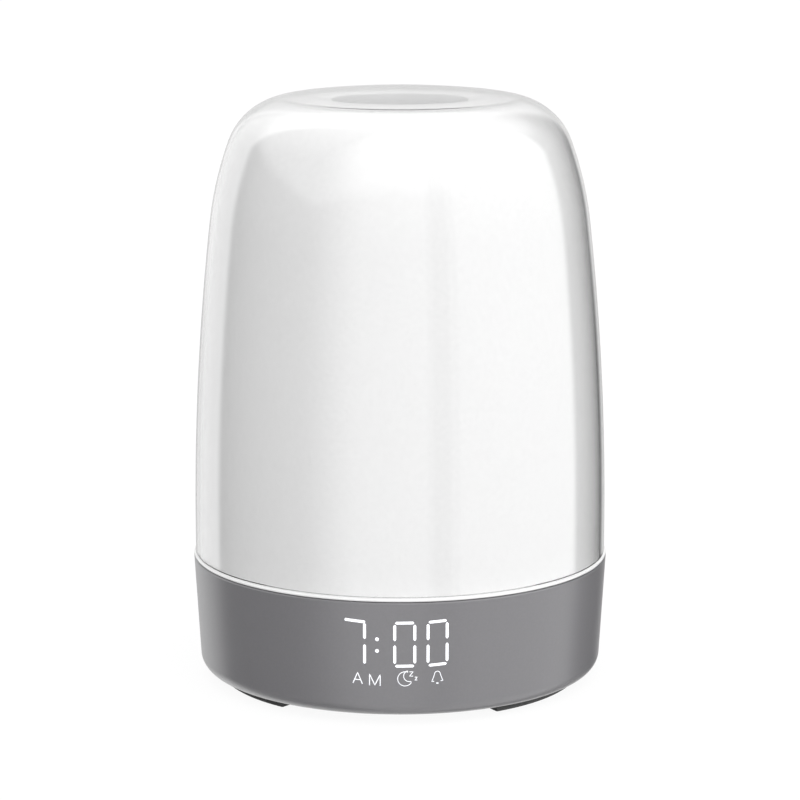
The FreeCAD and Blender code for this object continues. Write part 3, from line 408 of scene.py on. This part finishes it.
def clear_shell():
    """The clear outer shell, closed at the crown, with its foot's edges a little rounded."""
    foot = flange_top + CONTACT_GAP
    outer = dome(0, foot, 0)
    inner = dome(CLEAR_WALL, foot, 0)
    edge = 0.12
    outer[0] = (outer[0][0], foot + edge)
    inner[0] = (inner[0][0], foot + edge)
    rim = [(outer[0][0] - edge, foot), (inner[0][0] + edge, foot)]
    shell = lathe("clear_shell", outer[::-1] + rim + inner, degrees=40)
    shell.data.materials.append(acrylic_clear())
    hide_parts("shade_cover")
    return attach(shell, "root")


def opal_shell():
    """The opal inner shell: spigot, rounded bead, dome, and a dish and cup for the plate."""
    spigot_low = low("opal_diffuser", "z")
    spigot = wall_radius(JOINT_LEVEL, BASE_WALL) - FIT_GAP
    outer = dome(CLEAR_WALL + AIR_GAP, flange_top, DISH_RADIUS)
    inner = dome(CLEAR_WALL + AIR_GAP + OPAL_WALL, JOINT_LEVEL, DISH_UNDER)
    bead = arc(SHADE_RADIUS, JOINT_LEVEL + BEAD_HEIGHT / 2, BEAD_HEIGHT / 2, -90, 90, 10)
    dish = high("touch_plate", "z") - CONTACT_GAP
    cup = low("touch_plate", "z") - CONTACT_GAP
    cup_radius = high("touch_plate", "x") + FIT_GAP
    under = cup_radius + OPAL_WALL
    edge, dish_rise, flange_inset = 0.2, 0.01, 0.25
    start = (spigot - OPAL_WALL, spigot_low)
    points = [start, (spigot, spigot_low), (spigot, JOINT_LEVEL)] + bead
    points += [(SHADE_RADIUS - flange_inset, flange_top)] + outer
    points += [(cup_radius + edge, dish + dish_rise), (cup_radius, dish - edge),
               (cup_radius, cup)]
    points += [(LEAD_HOLE, cup), (LEAD_HOLE, cup - OPAL_WALL), (under, cup - OPAL_WALL)]
    points += [(under, dish - OPAL_WALL)] + inner[::-1] + [start]
    shell = lathe("opal_shell", points, degrees=40)
    shell.data.materials.append(acrylic_opal())
    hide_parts("opal_diffuser")
    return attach(shell, "root")


def flat_pill(x, z, width, height, low_y, high_y):
    """A flat bar with round ends, from low_y to high_y."""
    deselect()
    bpy.ops.mesh.primitive_cylinder_add(
        vertices=64, radius=height / 2 * MM, depth=(high_y - low_y) * MM,
        location=(x * MM, (high_y + low_y) / 2 * MM, z * MM), rotation=(math.pi / 2, 0, 0))
    bar = settle(bpy.context.object)
    shift = (width - height) / 2 * MM
    for vert in bar.data.vertices:
        side = vert.co.x - x * MM
        if abs(side) > 1e-7:
            vert.co.x += math.copysign(shift, side)
    return bar


def grey_base(plastic):
    """The base shell: rounded bottom edge, tapered wall, button holes and inlet slot."""
    under = low("base_housing", "z")
    rim = high("base_housing", "z")
    centre = wall_radius(under + BASE_ROUND) - BASE_ROUND / math.cos(math.radians(BASE_TAPER))
    hole = high("bottom_cover", "x") + FIT_GAP
    edge = 0.3

    def inside(level):
        """A point on the inner face of the wall."""
        return wall_radius(level, BASE_WALL), level

    points = [(hole, under)]
    points += arc(centre, under + BASE_ROUND, BASE_ROUND, -90, -BASE_TAPER, 16)
    points += [(wall_radius(rim - edge), rim - edge), (wall_radius(rim) - edge, rim)]
    points += [inside(rim), inside(LEDGE_TOP), (LEDGE_RADIUS, LEDGE_TOP)]
    points += [(LEDGE_RADIUS, LEDGE_LOW), inside(LEDGE_LOW), inside(LIP_TOP)]
    points += [(LIP_RADIUS, LIP_TOP), (LIP_RADIUS, LIP_LOW), (hole, LIP_LOW), (hole, under)]
    shell = lathe("grey_base", points)
    level = middle("up_button", "z")
    from_y, to_y = 30, 70
    cutters = [flat_pill(middle(name + "_button", "x"), level, CAP_WIDTH + 2 * FIT_GAP,
                         CAP_HEIGHT + 2 * FIT_GAP, from_y, to_y) for name in BUTTONS]
    inlet = middle("inlet_shell", "z")
    cutters.append(flat_pill(0, inlet, INLET_WIDTH, INLET_HEIGHT, from_y, to_y))
    for cutter in cutters:
        modify(shell, "BOOLEAN", operation="DIFFERENCE", object=cutter, solver="EXACT")
        bpy.data.objects.remove(cutter)
    smooth(shell)
    shell.data.materials.append(plastic)
    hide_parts("base_housing")
    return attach(shell, "root")


def touch_disc():
    """The touch plate, with a rounded rim and a very shallow dish for the finger."""
    radius = high("touch_plate", "x")
    top = high("touch_plate", "z")
    bottom = low("touch_plate", "z")
    edge = 0.35
    points = [(0, bottom), (radius, bottom)]
    points += arc(radius - edge, top - edge, edge, 0, 90, 6)
    points += [(radius * share, top - dip)
               for share, dip in ((0.7, 0.02), (0.35, 0.04), (0, 0.05))]
    disc = lathe("touch_disc", points)
    disc.data.materials.append(touch_lacquer())
    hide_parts("touch_plate")
    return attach(disc, "root")


# Strokes wrapped on the curved wall: the lit display and the signs printed on the buttons


def wrap(obj, side):
    """Lay a flat piece on the base wall: its y becomes its height over the wall.

    The side is -1 for the front wall and 1 for the back.
    """
    for vert in obj.data.vertices:
        x, y, z = vert.co / MM
        radius = wall_radius(z, -y)
        vert.co.y = side * math.sqrt(radius * radius - x * x) * MM
    return obj


def resample(path, step):
    """Points along a path no further apart than step."""
    dense = [path[0]]
    for (x0, z0), (x1, z1) in zip(path, path[1:]):
        count = max(1, math.ceil(math.hypot(x1 - x0, z1 - z0) / step))
        for index in range(1, count + 1):
            part = index / count
            dense.append((x0 + (x1 - x0) * part, z0 + (z1 - z0) * part))
    return dense


def stroke(path, width, lift, point=0.0):
    """A thin raised stroke along a path, its rounded top lift mm over the wall.

    Over the length point in mm, both of its ends narrow, as the ends of a segment do.
    """
    dense = resample(path, STROKE_STEP)
    if point:
        (x0, z0), (x1, z1) = path[0], path[-1]
        part = point / math.hypot(x1 - x0, z1 - z0)
        dense = resample([path[0], (x0 + (x1 - x0) * part, z0 + (z1 - z0) * part),
                          (x1 + (x0 - x1) * part, z1 + (z0 - z1) * part), path[-1]],
                         STROKE_STEP)
    line = edge_chain(dense)
    bpy.ops.object.convert(target="CURVE")
    line = bpy.context.object
    if point:
        spots = line.data.splines[0].points
        spots[0].radius = POINT_WIDTH
        spots[-1].radius = POINT_WIDTH
    line.data.dimensions = "3D"
    line.data.bevel_depth = width / 2 * MM
    line.data.bevel_resolution = 2
    line.data.use_fill_caps = True
    bpy.ops.object.convert(target="MESH")
    line = bpy.context.object
    bpy.ops.object.mode_set(mode="EDIT")
    bpy.ops.mesh.select_all(action="SELECT")
    bpy.ops.mesh.remove_doubles(threshold=0.001 * MM)
    bpy.ops.transform.resize(value=(1, 2 * STROKE_THICK / width, 1), center_override=(0, 0, 0))
    bpy.ops.transform.translate(value=(0, (lift - STROKE_THICK) * MM, 0))
    bpy.ops.mesh.normals_make_consistent(inside=False)
    bpy.ops.object.mode_set(mode="OBJECT")
    return line


def glyph(name, strokes, colour, side=-1, lift=0.04, body="root", point=0.0):
    """One sign on the wall, made of strokes: each a path and a width."""
    lines = [stroke(path, width, lift, point) for path, width in strokes]
    pick(lines[0])
    for line in lines[1:]:
        line.select_set(True)
    if len(lines) > 1:
        bpy.ops.object.join()
    sign = wrap(named(name), side)
    bpy.ops.object.mode_set(mode="EDIT")
    bpy.ops.mesh.select_all(action="SELECT")
    bpy.ops.mesh.normals_make_consistent(inside=False)
    smooth(settle(sign), 40)
    sign.data.materials.clear()
    sign.data.materials.append(colour)
    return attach(sign, body)


# How finely a stroke follows the curved wall, and half its thickness, in mm
STROKE_STEP = 0.5
STROKE_THICK = 0.08
# Length of a segment's pointed end in mm, and its width at the tip as a share of its own
SEGMENT_POINT = 0.5
POINT_WIDTH = 0.3
# Levels of the display's bars and signs, in mm above the table
BAR_TOP = 27.45
BAR_LOW = 16.0
UPPER_BAR = (27.1, 22.55)
LOWER_BAR = (21.65, 16.5)
SEVEN_BARS = ((27.2, 22.7), (21.55, 16.1))
SIGN_LEVEL = 12.5
# How the rows rise and the level bars tilt towards the display's ends
ROW_CURVE = 0.0026
BAR_TILT = 0.0074
BAR_WIDTH = 0.9
SIGN_WIDTH = 0.24
LETTER_WIDTH = 0.3
SEVEN_LEFT = -14.1
SEVEN_RIGHT = -8.97
# How far the seven's level bar passes its upright bars
SEVEN_OVERHANG = 0.25
COLON_X = -5.81
COLON_LEVELS = (23.0, 19.9)
COLON_SIDE = 1.1
ZERO_SIDES = ((-1.34, 3.74), (7.1, 11.93))
# Middle, foot, top and half width of the letters
LETTER_A = (-10.75, 10.785, 13.735, 1.2)
LETTER_M = (-6.38, 10.575, 13.625, 1.35)
MOON_X = 1.3
BELL_X = 9.48


def curved_row(strokes):
    """The strokes of a sign, each raised a little with its distance from the middle."""
    return [([(x, z + ROW_CURVE * x * x) for x, z in resample(path, STROKE_STEP)], width)
            for path, width in strokes]


def upright_bars(x, levels=(UPPER_BAR, LOWER_BAR)):
    """The two upright bars of a digit at x, with pointed gaps between them."""
    rise = ROW_CURVE * x * x
    return [([(x, top + rise), (x, end + rise)], BAR_WIDTH) for top, end in levels]


def level_bar(left, right, level):
    """A level bar, tilted as its row is curved."""
    centre = (left + right) / 2
    rise = ROW_CURVE * centre * centre
    tilt = BAR_TILT * centre * (right - left) / 2
    return [([(left, level + rise - tilt), (right, level + rise + tilt)], BAR_WIDTH)]


def display(digits, signs):
    """7:00, AM, a moon with small z letters, and a bell."""
    seven = level_bar(SEVEN_LEFT, SEVEN_RIGHT + SEVEN_OVERHANG, BAR_TOP)
    seven += upright_bars(SEVEN_RIGHT, SEVEN_BARS)
    glyph("digit_seven", seven, digits, point=SEGMENT_POINT)
    for number, (left, right) in enumerate(ZERO_SIDES, 1):
        bars = level_bar(left, right, BAR_TOP) + level_bar(left, right, BAR_LOW)
        bars += upright_bars(left) + upright_bars(right)
        glyph("digit_zero_%d" % number, bars, digits, point=SEGMENT_POINT)
    dot = COLON_SIDE / 4
    glyph("colon", curved_row([(arc(COLON_X, z, dot, 0, 360, 12), 2 * dot)
                               for z in COLON_LEVELS]), digits)
    x, base, peak, wide = LETTER_A
    bar_half, bar_level = 0.78, base + 1.05
    glyph("letter_a", curved_row([
        ([(x - wide, base), (x, peak), (x + wide, base)], LETTER_WIDTH),
        ([(x - bar_half, bar_level), (x + bar_half, bar_level)], LETTER_WIDTH),
    ]), signs)
    x, base, peak, wide = LETTER_M
    glyph("letter_m", curved_row([
        ([(x - wide, base), (x - wide, peak), (x, base + 0.15), (x + wide, peak),
          (x + wide, base)], LETTER_WIDTH),
    ]), signs)
    outside = arc(MOON_X, SIGN_LEVEL + 0.1, 1.9, 68, 322, 26)
    inside = arc(MOON_X + 1.12, SIGN_LEVEL + 0.84, 1.5, 285, 113, 18)
    moon = [(outside + inside + outside[:1], SIGN_WIDTH)]
    for left, right, top, end in ((1.1, 2.05, 1.95, 0.8), (2.45, 3.1, 0.5, -0.3)):
        moon.append(([(MOON_X + x, SIGN_LEVEL + z)
                      for x, z in ((left, top), (right, top), (left, end), (right, end))],
                     SIGN_WIDTH))
    glyph("sleep_sign", curved_row(moon), signs)
    brim, brim_end, side, crown = 1.42, 0.82, 1.05, 0.75
    brim_level = SIGN_LEVEL - 0.95
    bell = [(BELL_X - brim_end, brim_level), (BELL_X - brim, brim_level),
            (BELL_X - side, SIGN_LEVEL)]
    bell += oval(BELL_X, SIGN_LEVEL + 0.85, crown, crown + 0.1, 180, 0, 12)
    bell += [(BELL_X + side, SIGN_LEVEL), (BELL_X + brim, brim_level),
             (BELL_X + brim_end, brim_level)]
    clapper_half, clapper_level, clapper_width = 0.3, SIGN_LEVEL - 1.5, 0.42
    glyph("bell_sign", curved_row([
        (bell, SIGN_WIDTH),
        ([(BELL_X - clapper_half, clapper_level), (BELL_X + clapper_half, clapper_level)],
         clapper_width),
    ]), signs)


# Buttons at the back

FLANGE_WIDER = 1.2
FLANGE_HIGHER = 2.0
FLANGE_GAP = 0.35
FLANGE_THICK = 0.9
# How deep under the wall's outer face a flange starts and ends
FLANGE_OUTSIDE = BASE_WALL + FLANGE_GAP
FLANGE_INSIDE = FLANGE_OUTSIDE + FLANGE_THICK
STEM_RADIUS = 1.4
# How far the stem reaches into the flange
STEM_OVERLAP = 0.4
# Rings of faces on the ends of a cap and a flange, so that they can follow the wall
END_RINGS = 4
CAP_RING = 0.5
FLANGE_RING = 0.7


def select_end(obj, direction):
    """Select the faces at one end of a flat bar, towards +Y or -Y."""
    pick(obj)
    bpy.ops.object.mode_set(mode="EDIT")
    bpy.ops.mesh.select_all(action="DESELECT")
    bpy.ops.object.mode_set(mode="OBJECT")
    for face in obj.data.polygons:
        face.select = face.normal.y * direction > 0.9
    bpy.ops.object.mode_set(mode="EDIT")
    bpy.ops.mesh.select_mode(type="FACE")


def button(name, plastic, ink):
    """A cap that follows the wall, with a soft edge, its flange and its stem."""
    x = middle(name + "_button", "x")
    z = middle(name + "_button", "z")
    cap = flat_pill(x, z, CAP_WIDTH, CAP_HEIGHT, -FLANGE_OUTSIDE, CAP_PROUD)
    bevel(cap, width=0.45, segments=4)
    select_end(cap, 1)
    for ring in range(END_RINGS):
        bpy.ops.mesh.inset(thickness=CAP_RING * MM)
    bpy.ops.mesh.poke()
    bpy.ops.object.mode_set(mode="OBJECT")
    flange = flat_pill(x, z, CAP_WIDTH + FLANGE_WIDER, CAP_HEIGHT + FLANGE_HIGHER,
                       -FLANGE_INSIDE, -FLANGE_OUTSIDE)
    for end in (1, -1):
        select_end(flange, end)
        for ring in range(END_RINGS):
            bpy.ops.mesh.inset(thickness=FLANGE_RING * MM)
        bpy.ops.object.mode_set(mode="OBJECT")
    bevel(flange, width=0.2, segments=2)
    for part in (cap, flange):
        wrap(part, 1)
    inner_end = low(name + "_button", "y")
    wall = math.sqrt(wall_radius(z, FLANGE_INSIDE - STEM_OVERLAP) ** 2 - x * x)
    bpy.ops.object.select_all(action="DESELECT")
    bpy.ops.mesh.primitive_cylinder_add(
        vertices=48, radius=STEM_RADIUS * MM, depth=(wall - inner_end) * MM,
        location=(x * MM, (wall + inner_end) / 2 * MM, z * MM), rotation=(math.pi / 2, 0, 0))
    stem = settle(bpy.context.object)
    bevel(stem, width=0.25, segments=3)
    pick(cap)
    flange.select_set(True)
    stem.select_set(True)
    bpy.ops.object.join()
    whole = smooth(named(name + "_cap"), 40)
    whole.data.materials.clear()
    whole.data.materials.append(plastic)
    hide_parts(name + "_button")
    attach(whole, name + "_button")
    print_sign(name, x, z, ink)


def print_sign(name, x, z, ink):
    """The generic sign printed on a cap, as seen from behind the clock."""
    fine, bold = 0.26, 0.34
    signs = {
        "time": [(arc(0, 0, 1.45, 0, 360, 30), fine), ([(0, 0.95), (0, 0), (0.7, -0.35)], fine)],
        "alarm": [([(-1.45, -0.85), (-1.05, -0.35)] + arc(0, 0.45, 1.05, 180, 0, 12)
                   + [(1.05, -0.35), (1.45, -0.85), (-1.45, -0.85)], fine),
                  (arc(0, -1.1, 0.4, 200, 340, 6), fine)],
        "down": [([(-1.3, 0), (1.3, 0)], bold)],
        "up": [([(-1.3, 0), (1.3, 0)], bold), ([(0, -1.3), (0, -0.2)], bold),
               ([(0, 0.2), (0, 1.3)], bold)],
        "light": [(arc(0, 0, 0.65, 0, 360, 20), fine)]
                 + [([(1.05 * math.cos(turn), 1.05 * math.sin(turn)),
                      (1.55 * math.cos(turn), 1.55 * math.sin(turn))], fine)
                    for turn in (math.tau * ray / 8 for ray in range(8))],
        "sound": [([(-0.55, -0.95), (-0.55, 1.2), (1.0, 1.5), (1.0, -0.65)], 0.28)]
                 + [(oval(across, up, 0.4, 0.32, 0, 360, 14), 0.3)
                    for across, up in ((-0.95, -0.95), (0.6, -0.65))],
    }
    strokes = [([(x - across, z + up) for across, up in path], width)
               for path, width in signs[name]]
    glyph(name + "_sign", strokes, ink, side=1, lift=CAP_PROUD + 0.03,
          body=name + "_button")


# Feet

FOOT_STEPS = 40


def foot(name, silicone):
    """An arc-shaped pad with a rounded edge all round."""
    top = high(name, "z")
    pad = edge_chain([(FOOT_INNER, 0), (FOOT_OUTER, 0), (FOOT_OUTER, top), (FOOT_INNER, top),
                      (FOOT_INNER, 0)])
    bpy.ops.object.mode_set(mode="EDIT")
    bpy.ops.mesh.select_all(action="SELECT")
    bpy.ops.mesh.remove_doubles(threshold=0.001 * MM)
    bpy.ops.mesh.spin(steps=FOOT_STEPS, angle=math.radians(FOOT_SPAN), center=(0, 0, 0),
                      axis=(0, 0, 1))
    bpy.ops.mesh.select_all(action="SELECT")
    bpy.ops.mesh.fill_holes(sides=0)
    bpy.ops.mesh.normals_make_consistent(inside=False)
    bpy.ops.object.mode_set(mode="OBJECT")
    spots = [vert.co for vert in pad.data.vertices]
    now = math.atan2(sum(spot.y for spot in spots), sum(spot.x for spot in spots))
    pad.data.transform(Matrix.Rotation(FOOT_BEARINGS[name] - now, 4, "Z"))
    bevel(pad, width=0.55, segments=4, degrees=50)
    pad = smooth(named(name + "_pad"), 40)
    pad.data.materials.append(silicone)
    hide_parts(name)
    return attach(pad, "root")


# Studio

# Light panels round the object, by bearing in degrees (0 towards the camera, positive to
# its right): left, right, softness and brightness
WALL_PANELS = (
    (-190, -158, 5, 0.6),
    (-158, -122, 8, 0.88),
    (-40, 17, 20, 1.2),
    (17, 31, 2, 0.7),
    (31, 116, 4, 1.2),
    (158, 190, 5, 0.58),
)
# The softbox overhead, in units of its height: left, right, front, back, softness, brightness
CEILING = (-3.2, 1.3, -2.2, 1.1, 0.5, 0.66)
# The rise above the horizon from which it is seen, and that edge's softness
CEILING_RISE = (0.05, 0.03)
# The least rise that a direction is divided by
LEAST_RISE = 0.02
# The bright floor as mirrors see it: how far down it starts, its softness and brightness
GROUND = (-0.45, 0.1, 0.35)
# More light behind the object, seen by its crown: bearing where it starts and its softness,
# rise where it starts and its softness, and brightness
BACK_GLOW = (150, 6, -0.13, 0.03, 0.12)
ROOM_LEVEL = 0.12
# The most that the right edge of a panel is softened, in degrees
PANEL_EDGE = 3
# How bright the floor looks from the camera, and how much of that is its own glow
FLOOR_BRIGHTNESS = 1.09
FLOOR_GLOW = 0.85


def studio():
    """White surround for the camera, and a soft room of light panels for the object."""
    world = bpy.data.worlds.new("studio")
    bpy.context.scene.world = world
    world.use_nodes = True
    tree = world.node_tree
    tree.nodes.clear()
    direction = add(tree, "ShaderNodeTexCoord").outputs["Generated"]
    axes = add(tree, "ShaderNodeSeparateXYZ", {"Vector": direction}).outputs

    toward = add(tree, "ShaderNodeMath", {0: axes["Y"], 1: -1.0}, operation="MULTIPLY")
    turn = add(tree, "ShaderNodeMath", {0: axes["X"], 1: toward.outputs[0]}, operation="ARCTAN2")
    bearing = add(tree, "ShaderNodeMath", {0: turn.outputs[0]}, operation="DEGREES").outputs[0]
    away = add(tree, "ShaderNodeMath", {0: bearing}, operation="ABSOLUTE").outputs[0]
    height = add(tree, "ShaderNodeMath", {0: axes["Z"], 1: LEAST_RISE}, operation="MAXIMUM")
    across, along = (
        add(tree, "ShaderNodeMath", {0: axes[axis], 1: height.outputs[0]},
            operation="DIVIDE").outputs[0] for axis in "XY")

    # Each light: its brightness, and the edges that it starts or, where soft is below 0, ends at
    lights = [(level, [(bearing, left, soft), (bearing, right, -min(soft, PANEL_EDGE))])
              for left, right, soft, level in WALL_PANELS]
    start, soft, rise, rise_soft, level = BACK_GLOW
    lights.append((level, [(away, start, soft), (axes["Z"], rise, rise_soft)]))
    edge, soft, level = GROUND
    lights.append((level, [(axes["Z"], edge, -soft)]))
    left, right, front, back, soft, level = CEILING
    lights.append((level, [(across, left, soft), (across, right, -soft), (along, front, soft),
                           (along, back, -soft), (axes["Z"], *CEILING_RISE)]))
    total = ROOM_LEVEL
    for level, edges in lights:
        for value, edge, soft in edges:
            mask = add(tree, "ShaderNodeMapRange", {
                "Value": value, "From Min": edge - soft, "From Max": edge + soft},
                interpolation_type="SMOOTHSTEP")
            level = add(tree, "ShaderNodeMath", {0: level, 1: mask.outputs["Result"]},
                        operation="MULTIPLY").outputs[0]
        total = add(tree, "ShaderNodeMath", {0: total, 1: level}, operation="ADD").outputs[0]
    lit = add(tree, "ShaderNodeBackground", {"Strength": total, "Color": (1, 1, 1, 1)})
    white = add(tree, "ShaderNodeBackground", {"Strength": 1.0, "Color": (1, 1, 1, 1)})
    path = add(tree, "ShaderNodeLightPath").outputs
    mix = add(tree, "ShaderNodeMixShader", {
        0: path["Is Camera Ray"], 1: lit.outputs[0], 2: white.outputs[0]})
    add(tree, "ShaderNodeOutputWorld", {"Surface": mix.outputs[0]})


def floor():
    """A white floor that keeps the object's soft shadow, and that reflections don't show."""
    deselect()
    bpy.ops.mesh.primitive_plane_add(size=6.0)
    ground = named("floor")
    made, tree, base = material("paper_white", Base_Color=linear("#c4c4c4"), Roughness=0.9)
    glow = add(tree, "ShaderNodeEmission", {"Color": (1, 1, 1, 1), "Strength": FLOOR_BRIGHTNESS})
    path = add(tree, "ShaderNodeLightPath").outputs
    part = add(tree, "ShaderNodeMath", {0: path["Is Camera Ray"], 1: FLOOR_GLOW},
               operation="MULTIPLY")
    seen = add(tree, "ShaderNodeMixShader", {
        0: part.outputs[0], 1: base.outputs[0], 2: glow.outputs[0]})
    mirrored = add(tree, "ShaderNodeMath", {
        0: path["Is Glossy Ray"], 1: path["Is Transmission Ray"]}, operation="MAXIMUM")
    clear = add(tree, "ShaderNodeBsdfTransparent")
    mix = add(tree, "ShaderNodeMixShader", {
        0: mirrored.outputs[0], 1: seen.outputs[0], 2: clear.outputs[0]})
    tree.links.new(mix.outputs[0], tree.nodes["Material Output"].inputs["Surface"])
    ground.data.materials.append(made)


def camera():
    """A long lens in front, looking a little down at the middle of the object."""
    aim_level = 73.9 * MM
    distance = 0.852
    pitch = math.radians(11.3)
    spot = (0, -distance * math.cos(pitch), aim_level + distance * math.sin(pitch))
    deselect()
    bpy.ops.object.camera_add(location=spot, rotation=(math.pi / 2 - pitch, 0, 0))
    view = bpy.context.object
    view.data.sensor_width = 36
    view.data.lens = 144
    view.data.clip_end = 20
    bpy.context.scene.camera = view


bpy.context.scene.view_settings.view_transform = "Standard"
camera()
floor()
studio()

grey = abs_satin_grey()
# Silicone rubber pads: dark, matt and slightly dusty
rubber = finish("silicone_rubber", ("#4c4c4c", "#585858"), 0.8, (0.6, 0.75), 0.03, IOR=1.41)
# Pad printing ink: white, flat and a little uneven
ink = finish("printing_ink_white", ("#dcdcdc", "#e8e8e8"), 0.6, (0.5, 0.6), IOR=1.5)
# White ABS straight from a polished mould: bright and even, to throw light up
white_abs = finish("abs_white_moulded", ("#e9e9e6", "#f1f1ee"), 2.0, (0.25, 0.35), IOR=1.52)
# Natural black nylon: matt, with a faint flow pattern
black_nylon = finish("nylon_black", ("#1b1b1d", "#262629"), 1.2, (0.45, 0.6), 0.01, IOR=1.53)
# Pressed cold-rolled steel, lacquered black
black_steel = finish("steel_lacquered_black", ("#202123", "#2a2b2e"), 1.5, (0.3, 0.42), IOR=1.5)
# White solder mask over the lamp board, so that it reflects
lamp_board = finish("solder_mask_white", ("#e4e6e4", "#eef0ee"), 1.5, (0.25, 0.35), IOR=1.55)
# Moulded epoxy of the chip cases: near black with a fine sandy tooth
epoxy = finish("chip_epoxy_black", ("#1a1a1b", "#29292a"), 0.3, (0.5, 0.65), 0.005, IOR=1.55)
# Nickel plated steel: bright, with soft wipe marks
nickel = finish("steel_nickel_plated", ("#b9b7b2", "#c9c7c2"), 1.5, (0.18, 0.32), Metallic=1.0)
# Stainless steel of the cell can: pale, lightly scuffed
stainless = finish("steel_stainless", ("#bcbdbd", "#cfcfcf"), 0.9, (0.25, 0.4), Metallic=1.0)
# Drawn aluminium of the smoothing cans and the coil case
aluminium = finish("aluminium_drawn", ("#c2c3c5", "#d3d4d6"), 0.8, (0.28, 0.4), Metallic=1.0)
# Sintered ferrite: dark grey and stony
ferrite = finish("ferrite_sintered", ("#2f3033", "#45464a"), 0.5, (0.5, 0.7), 0.01, IOR=1.9)
# Closed-cell foam: black, with pores that show as a coarse grain
foam = finish("eva_foam_black", ("#17171a", "#2c2c30"), 0.5, (0.8, 0.95), 0.12, IOR=1.4)
# Pressed polymer film of the cone: amber and half glossy
film = finish("cone_film_amber", ("#8d6a2c", "#a37d3a"), 2.5, (0.25, 0.4), 0.01, IOR=1.65)
# PVC insulated wire: red, slightly waxy
wire = finish("pvc_wire_red", ("#8f1f1c", "#a32a24"), 0.8, (0.35, 0.5), IOR=1.53)
# Clear light guides with frosted ends: milky and smooth
guide = finish("acrylic_frosted", ("#dfe4e6", "#edf1f2"), 0.7, (0.3, 0.5), IOR=1.49)
# Flat cable: white film with a tinned conductor every millimetre
ribbon = striped("flat_cable_polyester", ("#e6e7e4", "#b7b9ba"), 1.0, 0.5, (0.3, 0.45), IOR=1.6)
board = circuit_board()
# Lamps: yellow phosphor in a white case, and amber ones for the sunrise
white_lamp = lamp_package("lamp_phosphor_white", "white_leds", "#ecece8", "#d9c24a")
amber_lamp = lamp_package("lamp_phosphor_amber", "sunrise_leds", "#e8e6e2", "#c8641c")

FINISHES = {
    "touch_spring": nickel,
    "touch_post": white_abs,
    "touch_lead": wire,
    "reflector_tray": white_abs,
    "led_board": lamp_board,
    "white_leds": white_lamp,
    "sunrise_leds": amber_lamp,
    "bottom_cover": grey,
    "battery_cap": grey,
    "coin_cell": stainless,
    "cell_clip": nickel,
    "cover_screws": nickel,
    "board_screws": nickel,
    "main_board": board,
    "controller_chip": epoxy,
    "clock_crystal": stainless,
    "power_parts": aluminium,
    "display_board": board,
    "display_shroud": white_abs,
    "segment_guides": guide,
    "display_ribbon": ribbon,
    "button_board": board,
    "push_switches": black_nylon,
    "button_ribbon": ribbon,
    "inlet_board": board,
    "inlet_shell": nickel,
    "inlet_tongue": black_nylon,
    "speaker_gasket": foam,
    "speaker_frame": black_steel,
    "speaker_magnet": ferrite,
    "speaker_cone": film,
    "speaker_lead": wire,
}
for name in BUTTONS:
    FINISHES[name + "_plunger"] = black_nylon

clear_shell()
opal_shell()
grey_base(grey)
touch_disc()
display(display_glow("display_glow_digits", 0.8), display_glow("display_glow_signs", 0.6))
for name in BUTTONS:
    button(name, grey, ink)
for name in FOOT_BEARINGS:
    foot(name, rubber)

# Nodes that a piece above stands for are hidden, and get the plain grey
for name, node in nodes.items():
    node.data.materials.clear()
    node.data.materials.append(FINISHES.get(name, grey))
